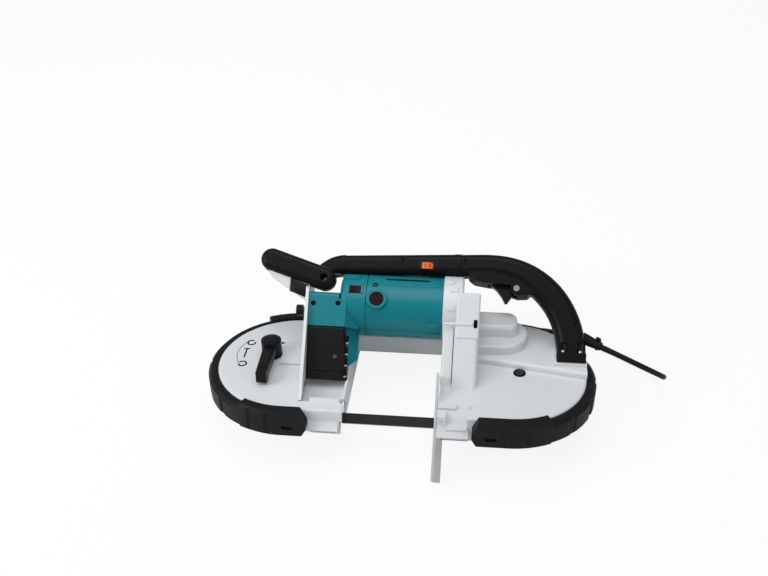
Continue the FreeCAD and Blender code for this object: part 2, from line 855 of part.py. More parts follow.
def motor_end_cover():
    """Cover on the motor's left end, with the rear bearing's seat and the rocker's pocket."""
    body = motor_rod(motor_r, end_cover_x)
    rim = [edge for edge in body.Edges if abs(edge.BoundBox.XMax - end_cover_x[0]) < fit]
    body = body.makeFillet(end_cover_round, rim)
    room_x = (end_cover_x[0] + end_cover_wall, end_cover_x[1] + overrun)
    body = body.cut(motor_rod(motor_r - end_cover_wall, room_x))
    boss = motor_rod(bearing_boss_r, (end_cover_x[0] + overrun, bearing_rear_x + bearing_w))
    body = body.fuse(boss).cut(motor_rod(bearing_r, (bearing_rear_x, end_cover_x[1])))
    room = rocker_room
    pocket = block(
        (rocker_x[0] - room, rocker_x[1] + room), (rocker_s[0] - room, rocker_s[1] + room),
        (rocker_c[0] - rocker_dip, reach))
    pin_x = sum(rocker_x) / 2
    ends = (rocker_s[0] - room - overrun, rocker_s[1] + room + overrun)
    pin = rod(rocker_pin_r, (pin_x, ends[0], rocker_pin_c), (pin_x, ends[1], rocker_pin_c))
    return to_saw(single(body.cut(pocket).fuse(pin)))


def lamp_switch():
    """Rocker that switches the lamp."""
    middle = sum(rocker_x) / 2
    low, high = rocker_c
    outline = (
        (rocker_x[0], low), (rocker_x[1], low), (rocker_x[1], high), (middle, high - rocker_dip),
        (rocker_x[0], high))
    body = prism_y(outline, rocker_s)
    ends = (rocker_s[0] - overrun, rocker_s[1] + overrun)
    hole = rod(rocker_pin_r + fit, (middle, ends[0], rocker_pin_c), (middle, ends[1], rocker_pin_c))
    return to_saw(body.cut(hole))


def field_core():
    """Laminated field of the motor."""
    body = motor_rod(motor_r - motor_wall, field_x)
    return to_saw(body.cut(motor_rod(field_bore, field_x)))


def bearing(x):
    """Ball bearing drawn as its closed ring."""
    ends = (x, x + bearing_w)
    return to_saw(motor_rod(bearing_r, ends).cut(motor_rod(armature_r + fit, ends)))


def involute(angle):
    """Involute of an angle."""
    return tan(angle) - angle


def tooth_half(teeth, module):
    """Radius and half angle of one tooth's flank, from its foot to its tip."""
    pitch_r = module * teeth / 2
    base_r = pitch_r * cos(radians(pressure_angle))
    foot_r = pitch_r - dedendum_share * module
    tip_r = pitch_r + addendum_share * module
    middle = (pi * module / 2 - tooth_slack) / (2 * pitch_r) + involute(radians(pressure_angle))
    start = max(base_r, foot_r)
    flank = []
    for index in range(flank_steps + 1):
        radius = start + (tip_r - start) * index / flank_steps
        flank.append((radius, middle - involute(acos(base_r / radius))))
    if foot_r < start:
        flank.insert(0, (foot_r, flank[0][1]))
    return flank


def spur_gear(teeth, module, turn, width):
    """Straight gear along +Z from the origin, with the middle of a tooth at the turn angle."""
    flank = tooth_half(teeth, module)
    points = []
    for index in range(teeth):
        middle = turn + 2 * pi * index / teeth
        points += [(radius * cos(middle - half), radius * sin(middle - half), 0) for radius, half in flank]
        points += [(radius * cos(middle + half), radius * sin(middle + half), 0)
                   for radius, half in reversed(flank)]
    return face_of(points).extrude(Vector(0, 0, width))


def set_on(shape, origin, axis):
    """Put a shape made along +Z on another axis."""
    placed = shape.copy()
    placed.Placement = FreeCAD.Placement(Vector(*origin), FreeCAD.Rotation(along_z, axis))
    return placed


def bevel_tooth(teeth, cone, turn):
    """One tooth of a bevel gear with its point at the origin and its axis along +Z."""
    pitch_r = bevel_module * teeth / 2
    length = pitch_r / sin(cone)
    flank = tooth_half(teeth / cos(cone), bevel_module)
    around = Vector(-sin(turn), cos(turn), 0)
    outward = Vector(cos(turn), sin(turn), 0)
    pitch_point = along_z * (length * cos(cone)) + outward * (length * sin(cone))
    up = outward * cos(cone) - along_z * sin(cone)
    sides = [(radius, -half) for radius, half in flank]
    sides += [(radius, half) for radius, half in reversed(flank)]
    large = []
    for radius, half in sides:
        rise = radius * cos(half) - pitch_r / cos(cone)
        large.append(pitch_point + around * (radius * sin(half)) + up * rise)
    foot = up * (-bevel_module / 2)
    large = [large[0] + foot] + large + [large[-1] + foot]
    share = (length - bevel_face) / length
    small = [point * share for point in large]
    return Part.makeLoft(
        [Part.makePolygon(large + large[:1]), Part.makePolygon(small + small[:1])], True, True)


def bevel_gear(teeth, mate, turn, bore):
    """Bevel gear with its point at the origin and its axis along +Z."""
    cone = atan(teeth / mate)
    pitch_r = bevel_module * teeth / 2
    length = pitch_r / sin(cone)
    depth = dedendum_share * bevel_module
    share = (length - bevel_face) / length
    root = (pitch_r - depth * cos(cone), length * cos(cone) + depth * sin(cone))
    small = (root[0] * share, root[1] * share)
    back = root[1] + bevel_back
    profile = ((bore, small[1]), small, root, (root[0], back), (bore, back))
    blank = face_of([(radius, 0, height) for radius, height in profile])
    blank = blank.revolve(Vector(), along_z, degrees(2 * pi))
    crown = [bevel_tooth(teeth, cone, turn + 2 * pi * index / teeth) for index in range(teeth)]
    return single(blank.fuse(crown))


def armature():
    """Armature: shaft with laminated core, commutator and the pinion cut on its end."""
    body = motor_rod(armature_r, armature_x)
    core = motor_rod(core_r, (field_x[0] + overrun, field_x[1] - overrun))
    for index in range(core_slot_count):
        angle = 2 * pi * index / core_slot_count
        slot = block(
            (field_x[0], field_x[1]), (motor_s - core_slot_w / 2, motor_s + core_slot_w / 2),
            (motor_c + core_r - core_slot_depth, motor_c + core_r + overrun))
        slot.rotate(Vector(0, motor_s, motor_c), along_x, degrees(angle))
        core = core.cut(slot)
    body = to_saw(body.fuse([core, motor_rod(commutator_r, commutator_x)]))
    pinion = spur_gear(first_teeth[0], first_module, 0, first_x[1] - first_x[0])
    return single(body.fuse(set_on(pinion, (first_x[0], motor_y, motor_z), along_x)))


def motor_fan():
    """Cooling fan on the armature shaft."""
    body = motor_rod(fan_r, (fan_x[0], fan_x[0] + fan_disc_t)).fuse(motor_rod(fan_hub_r, fan_x))
    for index in range(fan_blade_count):
        angle = 2 * pi * index / fan_blade_count
        blade = block(
            fan_x, (motor_s - fan_blade_t / 2, motor_s + fan_blade_t / 2),
            (motor_c + fan_hub_r - overrun, motor_c + fan_r - overrun))
        blade.rotate(Vector(0, motor_s, motor_c), along_x, degrees(angle))
        body = body.fuse(blade)
    return to_saw(single(body.cut(motor_rod(armature_r, fan_x))))


def bevel_sizes():
    """Pitch radii of the bevel pinion and the bevel gear."""
    return [bevel_module * teeth / 2 for teeth in bevel_teeth]


def layshaft():
    """Second shaft with the bevel pinion cut on its nose."""
    pinion = bevel_gear(bevel_teeth[0], bevel_teeth[1], 0, layshaft_nose_r)
    pinion = set_on(pinion, (counter_x, motor_y, lay_z), -along_x)
    shoulder = counter_x - pinion_back()
    body = rod(layshaft_r, (layshaft_start, motor_y, lay_z), (shoulder, motor_y, lay_z))
    nose = rod(layshaft_nose_r, (shoulder, motor_y, lay_z), (pinion.BoundBox.XMax, motor_y, lay_z))
    return single(body.fuse([nose, pinion]))


def pinion_back():
    """Distance from the bevel gears' common point to the pinion's back face."""
    cone = atan(bevel_teeth[0] / bevel_teeth[1])
    return bevel_sizes()[1] + dedendum_share * bevel_module * sin(cone) + bevel_back


def first_gear():
    """Large gear of the first stage, on the layshaft."""
    teeth = first_teeth[1]
    gear = spur_gear(teeth, first_module, pi / teeth, first_x[1] - first_x[0])
    gear = set_on(gear, (first_x[0], motor_y, lay_z), along_x)
    return single(gear.cut(rod(layshaft_r, (first_x[0], motor_y, lay_z), (first_x[1], motor_y, lay_z))))


def mesh_turn():
    """Direction from the countershaft to the drive shaft."""
    return atan2(-motor_y, wheel_x - counter_x)


def countershaft():
    """Upright shaft with the final pinion cut on it."""
    body = rod(counter_r, (counter_x, motor_y, counter_z[0]), (counter_x, motor_y, counter_z[1]))
    pinion = spur_gear(final_teeth[0], final_module, mesh_turn(), final_z[1] - final_z[0])
    return single(body.fuse(set_on(pinion, (counter_x, motor_y, final_z[0]), along_z)))


def bevel_wheel():
    """Bevel gear on the countershaft."""
    teeth = bevel_teeth[1]
    gear = bevel_gear(teeth, bevel_teeth[0], pi / teeth, counter_r)
    return set_on(gear, (counter_x, motor_y, lay_z), -along_z)


def final_gear():
    """Large gear on the drive shaft."""
    teeth = final_teeth[1]
    turn = mesh_turn() + pi + pi / teeth
    gear = spur_gear(teeth, final_module, turn, final_z[1] - final_z[0])
    gear = set_on(gear, (wheel_x, 0, final_z[0]), along_z)
    tools = [rod(shaft_r, (wheel_x, 0, 0), (wheel_x, 0, face_z))]
    for index in range(final_hole_count):
        angle = 2 * pi * index / final_hole_count
        centre = (wheel_x + final_hole_ring * cos(angle), final_hole_ring * sin(angle))
        tools.append(rod(final_hole_r, (*centre, 0), (*centre, face_z)))
    return single(gear.cut(tools))


def drive_shaft():
    """Shaft of the drive wheel, with a retaining head below the wheel."""
    return headed_axle(wheel_x, face_z - overrun)


def headed_axle(x, top):
    """Wheel axle with a head under the wheel."""
    shank = rod(shaft_r, (x, 0, axle_foot_z), (x, 0, top))
    head = rod(axle_head_r, (x, 0, axle_foot_z), (x, 0, axle_foot_z + axle_head_t))
    return shank.fuse(head).removeSplitter()


def case_rod(radius, x):
    """Round bar on the layshaft's axis, in the cut frame."""
    return rod(radius, (x[0], lay_s, lay_c), (x[1], lay_s, lay_c))


def gear_case():
    """Gear case: motor flange, bearing head and the column down to the frame."""
    body = motor_rod(flange_r, flange_x)
    low = -reach
    body = eased(body, case_round, lambda box: box.XMin > flange_x[1] - fit)
    head = block(case_x, case_head_s, case_head_c)
    head_s, head_c = case_head_s[1], case_head_c[1]
    head = eased(head, case_round, lambda box: max(box.YMin - head_s, box.ZMin - head_c) > -fit)
    column = block(column_x, (low, case_rib_s), (case_back_c, case_rib_c))
    edge_x = column_x[1]
    column = eased(column, column_round, lambda box: min(box.XMin - edge_x, box.ZMin - case_rib_c) > -fit)
    strip = block(strip_x, (low, strip_s), (case_back_c, strip_c))
    strip = eased(strip, case_round, lambda box: max(box.XMax - strip_x[0], strip_c - box.ZMin) < fit)
    body = body.fuse([case_rod(case_r, case_x), head, column, strip])
    room = [case_rod(case_room_r, case_room_x), motor_rod(case_pinion_room_r, case_room_x)]
    bores = [
        motor_rod(bearing_r, (flange_x[0] - overrun, bearing_front_x + bearing_w)),
        motor_rod(armature_r + overrun, (flange_x[0], case_room_x[0] + overrun)),
        case_rod(layshaft_r + fit, (layshaft_start, case_x[1] + overrun))]
    body = to_saw(body.cut(room + bores)).cut(frame_envelope())
    return single(body)


def dome(inset, start, low):
    """Rounded box along the layshaft, smaller by an inset."""
    end = counter_x + cover_far - inset
    sides = (motor_y - cover_half + inset, motor_y + cover_half - inset)
    body = block((case_x[0], end), sides, (low, cover_top_z - inset))
    corner = cover_corner
    body = eased(body, corner - inset, lambda box: min(box.XMin - end, box.ZLength - corner) > -fit)
    body = eased(body, cover_round - inset, lambda box: box.ZMin > cover_top_z - inset - fit)
    return body.cut(block((-reach, start), (-reach, reach), (-reach, reach)))


def gear_cover():
    """Domed cover over the bevel gears, on a thick flange."""
    base = shelf_z + cover_flange_t
    x, y = counter_x - cover_flange_back, cover_flange_y
    flange = rod(cover_flange_r, (x, y, shelf_z), (x, y, base))
    plate = block((case_x[0], x), (y - cover_flange_r, y + cover_flange_r), (shelf_z, base))
    flange = flange.fuse(plate).removeSplitter()
    flange = eased(flange, cover_flange_round, lambda box: min(box.ZMin - base, box.XMax - case_x[1]) > -fit)
    body = flange.fuse(dome(0, case_x[1], base - overrun))
    well = gear_well(base - cover_wall)
    tunnel = dome(cover_wall, case_x[1] - overrun, lay_z - cover_tunnel_drop)
    body = body.cut([tunnel, well])
    body = body.cut(block((-reach, case_x[1]), (-reach, reach), (-reach, reach)))
    return single(body)


def bracket_side(thick):
    """Everything left of the leaning bracket, and a thickness of it."""
    far = bracket_x + thick
    near = far + bracket_lean
    outline = ((-reach, bracket_y[0]), (far, bracket_y[0]), (near, bracket_y[1]), (-reach, bracket_y[1]))
    return prism_z(outline, (0, reach))


def lamp_housing():
    """Housing at the motor's left end, behind and above the lamp."""
    back = lamp_back_c
    lower = (
        (lamp_x[0], back), (lamp_x[0], lamp_seam_c), (lamp_x[1], lamp_seam_c),
        (lamp_side_x, lamp_seam_c - lamp_side_drop), (lamp_side_x, back))
    upper = (
        (lamp_x[0], back), (lamp_x[0], lamp_front_c), (lamp_x[1], lamp_front_c),
        (lamp_side_x, lamp_front_c - lamp_side_drop), (lamp_side_x, back))
    head = prism_y(upper, (lamp_seam_s, lamp_top_s))
    crown = [edge for edge in head.Edges if lamp_crown(edge)]
    head = head.makeFillet(lamp_round, crown)
    body = prism_y(lower, (-reach, lamp_seam_s)).fuse(head)
    body = body.cut(motor_rod(motor_r + fit, (end_cover_x[0] - fit, motor_x[1])))
    return single(to_saw(body).cut([frame_envelope(), bracket_side(bracket_t)]))


def lamp_crown(edge):
    """True for the front top edge of the lamp housing."""
    box = edge.BoundBox
    return box.YMin > lamp_top_s - fit and box.ZMin > lamp_front_c - fit


def lamp_outline(inset):
    """Hood seen from the front, wider towards the blade."""
    foot = -lamp_low_s
    share = (lamp_seam_s - foot) / (lamp_seam_s - lamp_low_s)
    left = lamp_x[0] + (lamp_low_x[0] - lamp_x[0]) * share + inset
    right = lamp_x[1] + (lamp_low_x[1] - lamp_x[1]) * share - inset
    top = lamp_seam_s - inset
    return ((lamp_x[0] + inset, top), (lamp_x[1] - inset, top), (right, foot), (left, foot))


def lamp_cover():
    """Black hood in front of the lamp, open towards the blade."""
    hood = prism_z(lamp_outline(0), (lamp_seam_c, lamp_front_c))
    hood = eased(hood, lamp_round / 2, lambda box: box.ZMin > lamp_front_c - fit and box.YMin > -reach)
    room = prism_z(lamp_outline(lamp_wall), (lamp_seam_c - overrun, lamp_front_c - lamp_wall))
    body = hood.cut(room)
    pitch = (lamp_slot_s[1] - lamp_slot_s[0]) / lamp_slot_count
    for index in range(lamp_slot_count):
        start = lamp_slot_s[0] + index * pitch
        slot_s = (start, start + pitch * lamp_slot_share)
        slot_x = (lamp_x[1] - lamp_wall - overrun, lamp_low_x[1] + overrun)
        body = body.cut(block(slot_x, slot_s, lamp_slot_c))
    floor = block((-reach, reach), (-reach, reach), (-reach, face_z + lamp_foot_gap))
    return single(to_saw(body).cut([floor, bracket_side(bracket_t)]))


def lamp_tube():
    """Small tube lamp with its two end caps."""
    body = rod(tube_r, (tube_x[0], tube_s, tube_c), (tube_x[1], tube_s, tube_c))
    caps = []
    for x in (tube_x[0], tube_x[1] - tube_cap_t):
        caps.append(block(
            (x, x + tube_cap_t), (tube_s - tube_cap_h, tube_s + tube_cap_h), (lamp_seam_c, tube_c + tube_r)))
    return to_saw(single(body.fuse(caps)))


def grip_bar():
    """Stadium bar of the front grip before its edges are rounded."""
    start, end = Vector(*grip_start, grip_c[0]), Vector(*grip_end, grip_c[0])
    up = Vector(0, 0, grip_c[1] - grip_c[0])
    run = end - start
    side = Vector(-run.y, run.x, 0) * (grip_r / run.Length)
    corners = (start + side, end + side, end - side, start - side)
    web = face_of([tuple(corner) for corner in corners]).extrude(up)
    ends = [Part.makeCylinder(grip_r, up.Length, point) for point in (start, end)]
    return single(web.fuse(ends))


def front_grip():
    """Front grip with a sunk screw at its right end."""
    bar = grip_bar()
    rims = [edge for edge in bar.Edges if edge.BoundBox.ZLength < fit]
    bar = bar.makeFillet(grip_round, rims)
    sink = rod(grip_screw_r, (*grip_end, grip_c[1] - grip_screw_depth), (*grip_end, grip_c[1] + overrun))
    return to_saw(single(bar.cut(sink)))


def grip_bracket():
    """Wall on the left housing with the arm under the front grip."""
    arm = to_saw(prism_z(arm_outline, arm_c))
    wall = bracket_side(bracket_t).cut(bracket_side(0)).common(prism_x(bracket_outline, (-reach, 0)))
    return single(wall.fuse(arm).cut(to_saw(grip_bar())))


def section(station, tangent, inset):
    """Rounded rectangle across the handle."""
    x, s, thick, wide = station
    normal = Vector(-tangent.y, tangent.x, 0) * (thick - inset)
    width = Vector(0, 0, wide - inset)
    middle = Vector(x, s, motor_c)
    corner = handle_corner_share * (thick - inset)
    toward = Vector(normal).normalize() * corner
    across = Vector(width).normalize() * corner
    edges = []
    signs = ((1, 1), (-1, 1), (-1, -1), (1, -1))
    stops = []
    for first, second in signs:
        point = middle + normal * first + width * second
        one = point - across * second
        two = point - toward * first
        bend = point - (across * second + toward * first) * (1 - root_half)
        order = (one, bend, two) if first * second > 0 else (two, bend, one)
        stops.append(order)
    for index, order in enumerate(stops):
        edges.append(Part.Arc(*order).toShape())
        edges.append(Part.makeLine(order[2], stops[(index + 1) % len(stops)][0]))
    return Part.Wire(edges)


def handle_tube(stations, end_way, inset):
    """Smooth bar through the handle's sections, from along X to its end direction."""
    places = [Vector(x, s, 0) for x, s, thick, wide in stations]
    ways = [(after - before).normalize() for before, after in zip(places, places[2:])]
    ways = [along_x] + ways + [end_way]
    wires = [section(station, way, inset) for station, way in zip(stations, ways)]
    return Part.makeLoft(wires, True, False)


def rear_tube(inset):
    """Bar of the rear handle, down to its foot."""
    return handle_tube(rear_stations, Vector(0, -1, 0), inset)


def link_tube():
    """Bar of the top handle: curved front link and straight stretch."""
    front = handle_tube(link_stations, along_x, 0)
    ends = [section(station, along_x, 0) for station in (link_stations[-1], link_end)]
    return front.fuse(Part.makeLoft(ends, True, True))


def handle_link():
    """Straight top handle with its front link and the speed dial's room."""
    body = link_tube()
    body = body.cut(motor_rod(motor_r + gap, (-reach, motor_x[1])))
    body = body.cut(motor_rod(flange_r + gap, flange_x))
    room = dial_room
    space = rod(dial_r + room, (dial_x, dial_s[0] - room, dial_c), (dial_x, dial_s[1] + room, dial_c))
    pin = rod(dial_pin_r, (dial_x, dial_s[0] - overrun, dial_c), (dial_x, dial_s[1] + overrun, dial_c))
    return to_saw(single(body.cut(space).fuse(pin)))


def speed_dial():
    """Thumb wheel of the speed control."""
    low, high = dial_s
    body = ring(dial_r, dial_pin_r + fit, (dial_x, low, dial_c), (dial_x, high, dial_c))
    notches = []
    for index in range(dial_notch_count):
        angle = 2 * pi * index / dial_notch_count
        x, c = dial_x + dial_r * cos(angle), dial_c + dial_r * sin(angle)
        notches.append(rod(dial_notch_r, (x, low - overrun, c), (x, high + overrun, c)))
    return to_saw(single(body.cut(notches)))


def foot_block():
    """Square foot under the rear handle's bow."""
    wide = (motor_c - foot_block_half, motor_c + foot_block_half)
    foot = block(foot_block_x, foot_block_s, wide)
    height = foot_block_s[1] - foot_block_s[0]
    return eased(foot, foot_block_round, lambda box: box.YLength > height - fit)


def foot_scallops():
    """Hollows in the handle's near side above the two screws of the foot."""
    low, high = foot_block_s[1], foot_scallop_top
    return [rod(foot_scallop_r, (x, low, foot_scallop_c), (x, high, foot_scallop_c)) for x in foot_scallop_x]


def handle_half(side):
    """Near or far half of the rear handle."""
    body = rear_tube(0)
    boss_c = (motor_c - lock_boss_half, motor_c + lock_boss_half)
    web = prism_z(web_outline, (motor_c - web_half, motor_c + web_half))
    boss = rod(lock_boss_r, (lock_x, lock_s, boss_c[0]), (lock_x, lock_s, boss_c[1]))
    body = body.fuse([web, boss, foot_block()]).cut(foot_scallops())
    body = body.cut(rear_tube(handle_wall))
    room = block(trigger_room_x, trigger_room_s, (motor_c - trigger_room_c, motor_c + trigger_room_c))
    lock_hole = rod(lock_r + fit, (lock_x, lock_s, lock_c[0] - lock_room), (lock_x, lock_s, reach))
    guard = guard_room()
    body = body.cut([room, lock_hole, guard])
    half_c = (motor_c + side * handle_seam / 2, motor_c + side * reach)
    body = body.common(block((-reach, reach), (-reach, reach), half_c))
    body = body.fuse(switch_ribs()) if side > 0 else body.cut(trigger_pin())
    return single(to_saw(body).cut(frame_envelope()))


def switch_ribs():
    """Ribs of the near handle half that hold the switch, and the trigger's pin."""
    ribs = []
    outer_c = motor_c + rear_stations[1][3] - handle_wall / 2
    for edge, side in ((switch_x[0], -1), (switch_x[1], 1)):
        ribs.append(block((edge, edge + side * switch_rib_t), switch_s, (motor_c, outer_c)))
    return ribs + [trigger_pin()]


def trigger_pin():
    """Pin across the handle that the trigger turns on."""
    half = trigger_room_c + overrun
    return rod(trigger_pin_r, (*trigger_pivot, motor_c - half), (*trigger_pivot, motor_c + half))


def trigger():
    """Trigger on its pin."""
    body = prism_z(trigger_outline, (motor_c - trigger_half, motor_c + trigger_half))
    hole = rod(trigger_pin_r + fit, (*trigger_pivot, motor_c - reach), (*trigger_pivot, motor_c + reach))
    return to_saw(body.cut(hole))


def lock_button():
    """Button that locks the trigger."""
    return to_saw(rod(lock_r, (lock_x, lock_s, lock_c[0]), (lock_x, lock_s, lock_c[1])))


def switch_body():
    """Switch inside the rear handle."""
    return to_saw(block(switch_x, switch_s, (motor_c - switch_half, motor_c + switch_half)))


def tension_lever():
    """Lever that slackens the blade."""
    hub = rod(lever_hub_r, (lever_x, lever_y, lever_hub_z[0]), (lever_x, lever_y, lever_hub_z[1]))
    wide, slim = lever_arm_half
    outline = (
        (lever_x - wide, lever_y), (lever_x - slim, lever_tip_y), (lever_x + slim, lever_tip_y),
        (lever_x + wide, lever_y))
    arm = prism_z(outline, lever_arm_z)
    tip_y = (lever_tip_y, lever_tip_y + lever_tip_l)
    tip = block((lever_x - slim, lever_x + slim), tip_y, (lever_tip_z, lever_arm_z[1]))
    body = hub.fuse([arm, tip])
    return single(body.cut(rod(cam_r, (lever_x, lever_y, 0), (lever_x, lever_y, cam_top_z))))


def tension_cam():
    """Lever shaft with the crank pin that moves the slide."""
    shaft = rod(cam_r, (lever_x, lever_y, slide_z[1] + fit), (lever_x, lever_y, cam_top_z))
    x = lever_x - cam_offset
    pin = rod(cam_pin_r, (x, lever_y, cam_pin_z), (x, lever_y, slide_z[1] + overrun))
    return single(shaft.fuse(pin))


def tension_slide():
    """Slide that carries the idler axle."""
    body = block(slide_x, slide_y, slide_z)
    x = lever_x - cam_offset
    slot_y = (lever_y - slide_slot_l, lever_y + slide_slot_l)
    slot = block((x - slide_slot_half, x + slide_slot_half), slot_y, (0, face_z))
    return single(body.cut([slot, rod(shaft_r, (-wheel_x, 0, 0), (-wheel_x, 0, face_z))]))


def guard_room():
    """Space of the cord guard inside the handle."""
    return rod(guard_r[0], (*guard_start, motor_c), (*guard_end, motor_c))


def cord_guard():
    """Bend relief where the cord leaves the handle."""
    start, end = Vector(*guard_start, motor_c), Vector(*guard_end, motor_c)
    run = end - start
    body = Part.makeCone(guard_r[0], guard_r[1], run.Length, start, run)
    ring_start = end - Vector(run).normalize() * (2 * guard_ring_t)
    collar = Part.makeCylinder(guard_ring_r, guard_ring_t, ring_start, run)
    return to_saw(single(body.fuse(collar)))


def arc_between(start, control, end):
    """Arc that leaves start and reaches end along the two lines through the control point."""
    middle = (start + end) * (1 / 2)
    half = (end - start).Length / 2
    lean = (control - middle).Length / half
    sag = half * tan(atan(lean) / 2)
    return Part.Arc(start, middle + Vector(control - middle).normalize() * sag, end)


def rounded_path(points):
    """Straight runs with the largest arcs that fit, and the arcs' radii."""
    edges = []
    radii = []
    last = points[0]
    for before, point, after in zip(points, points[1:], points[2:]):
        back, on = before - point, after - point
        turn = pi - back.getAngle(on)
        trim = bend_share * min(back.Length, on.Length)
        radii.append(trim / tan(turn / 2))
        start = point + Vector(back).normalize() * trim
        end = point + Vector(on).normalize() * trim
        edges.append(Part.makeLine(last, start))
        edges.append(arc_between(start, point, end).toShape())
        last = end
    edges.append(Part.makeLine(last, points[-1]))
    return Part.Wire(edges), radii


def tube_on(path):
    """Round tube along a wire."""
    start = path.OrderedEdges[0]
    point = start.valueAt(start.FirstParameter)
    circle = Part.makeCircle(cord_d / 2, point, start.tangentAt(start.FirstParameter))
    return Part.Solid(path.makePipeShell([Part.Wire(circle)], True, False))


def coil_state(turn, level):
    """Point and direction of the coil's middle line after a number of turns."""
    def place(value):
        radius = coil_in + coil_pitch * abs(value - coil_turns - 1 / 4)
        climb = smooth(min(max((value - coil_turns) * 2, 0), 1))
        angle = coil_start_angle - 2 * pi * value
        height = level + coil_pitch * climb
        return Vector(coil_x + radius * cos(angle), coil_y + radius * sin(angle), height)
    ahead, behind = place(turn + coil_step_share), place(turn - coil_step_share)
    return place(turn), (ahead - behind).normalize()


def coil_path(level):
    """Middle line of the coil as pairs of arcs, a quarter turn at a time, and its points for measuring."""
    count = int(round(4 * (2 * coil_turns + 1 / 2)))
    states = [coil_state(index / 4, level) for index in range(count + 1)]
    edges = [Part.makeLine(states[0][0] - states[0][1] * cord_d, states[0][0])]
    for (start, leave), (end, arrive) in zip(states, states[1:]):
        span = end - start
        spread = 1 - leave.dot(arrive)
        pull = span.dot(leave + arrive)
        handle = (sqrt(pull ** 2 + 2 * spread * span.dot(span)) - pull) / (2 * spread)
        first, second = start + leave * handle, end - arrive * handle
        joint = (first + second) * (1 / 2)
        edges += [arc_between(start, first, joint).toShape(), arc_between(joint, second, end).toShape()]
    edges.append(Part.makeLine(states[-1][0], states[-1][0] + states[-1][1] * coil_tail))
    return Part.Wire(edges), states


def coil_gap(path):
    """Least clear distance between two turns of the coil."""
    points = path.discretize(Distance=cord_d / 4)
    skip = int(4 * coil_in / cord_d)
    least = reach
    for index, point in enumerate(points):
        for other in points[index + skip:]:
            least = min(least, (other - point).Length)
    return least - cord_d


def cord_tie(level):
    """Strap around the coil's bundle of turns."""
    outer_r = coil_in + coil_pitch * coil_turns + coil_pitch / 2 + cord_d / 2
    inner_r = coil_in - coil_pitch / 2 - cord_d / 2
    low, high = level - cord_d / 2, level + coil_pitch + cord_d / 2
    width = (-tie_w / 2, tie_w / 2)
    outside = block((inner_r - tie_t, outer_r + tie_t), width, (low - tie_t, high + tie_t))
    inside = block((inner_r, outer_r), width, (low - fit, high + fit))
    strap = outside.cut(inside)
    strap.rotate(Vector(), along_z, tie_angle)
    strap.translate(Vector(coil_x, coil_y, 0))
    return strap


def plug(point, direction):
    """Two pin plug on the cord's end."""
    body = Part.makeCone(plug_r[0], plug_r[1], plug_l / 2, point, direction)
    block_start = point + direction * (plug_l / 2)
    body = body.fuse(Part.makeCylinder(plug_r[1], plug_l / 2, block_start, direction))
    side = Vector(-direction.y, direction.x, 0)
    thin, tall, length = plug_pin
    pins = []
    for sign in (-1, 1):
        pin = Part.makeBox(length, thin, tall, Vector(0, -thin / 2, -tall / 2))
        foot = point + direction * plug_l + side * (sign * plug_pin_gap / 2)
        pins.append(set_along(pin, foot, direction))
    return single(body.fuse(pins))


def set_along(shape, origin, direction):
    """Put a shape made along +X on another level direction."""
    placed = shape.copy()
    placed.rotate(Vector(), along_z, degrees(atan2(direction.y, direction.x)))
    placed.translate(origin)
    return placed


def rest_tilt():
    """Angle at which the saw lies on its far edge and the stop plate's foot."""
    corner = saw_point(0, blade_s + stop_s[0], blade_c + stop_c[0] - stop_flange_t)
    far_y = housing_r + bumper_block_t - bumper_chamfer
    return degrees(atan2(bumper_z[0] - corner.z, far_y - corner.y))


def seated(shape, lift):
    """Turn a shape from the saw frame to the way it lies on the floor."""
    placed = shape.copy()
    placed.rotate(Vector(), along_x, -rest_tilt())
    placed.translate(lift)
    return placed


def rigid_shapes():
    """Every rigid piece of the saw, in the saw frame."""
    rollers = {}
    for name, x in (("left", guide_left_x), ("right", guide_right_x)):
        for end, c in zip(("near", "far"), roller_axes()):
            rollers["guide_roller_" + name + "_" + end] = guide_roller(x, c)
    near_bolt, far_bolt = [stop_bolt(c) for c in stop_bolt_places()]
    return {
        "main_frame": main_frame(),
        "bumper_left": bumper(-1, bumper_left_tip, flute_left_x),
        "bumper_right": bumper(1, bumper_right_tip, flute_right_x),
        "gear_case": gear_case(),
        "gear_cover": gear_cover(),
        "motor_housing": motor_housing(),
        "motor_end_cover": motor_end_cover(),
        "field_core": field_core(),
        "bearing_rear": bearing(bearing_rear_x),
        "bearing_front": bearing(bearing_front_x),
        "brush_near": brush(1),
        "brush_far": brush(-1),
        "brush_cap_near": brush_cap(1),
        "brush_cap_far": brush_cap(-1),
        "armature": armature(),
        "motor_fan": motor_fan(),
        "layshaft": layshaft(),
        "first_gear": first_gear(),
        "countershaft": countershaft(),
        "bevel_gear": bevel_wheel(),
        "final_gear": final_gear(),
        "drive_shaft": drive_shaft(),
        "drive_wheel": bored_wheel(wheel_x, shaft_r),
        "drive_tyre": tyre(wheel_x),
        "idler_wheel": bored_wheel(-wheel_x, shaft_r + fit),
        "idler_tyre": tyre(-wheel_x),
        "idler_axle": headed_axle(-wheel_x, slide_z[1]),
        "tension_slide": tension_slide(),
        "tension_lever": tension_lever(),
        "tension_cam": tension_cam(),
        "saw_blade": saw_blade(),
        "guide_block_left": to_saw(single(guide_block(guide_left_x))),
        "guide_block_right": guide_right(),
        **rollers,
        "stop_plate": stop_plate(),
        "stop_bolt_near": near_bolt,
        "stop_bolt_far": far_bolt,
        "lamp_housing": lamp_housing(),
        "lamp_cover": lamp_cover(),
        "lamp_tube": lamp_tube(),
        "lamp_switch": lamp_switch(),
        "grip_bracket": grip_bracket(),
        "front_grip": front_grip(),
        "handle_link": handle_link(),
        "handle_near": handle_half(1),
        "handle_far": handle_half(-1),
        "speed_dial": speed_dial(),
        "trigger": trigger(),
        "lock_button": lock_button(),
        "switch_body": switch_body(),
    }


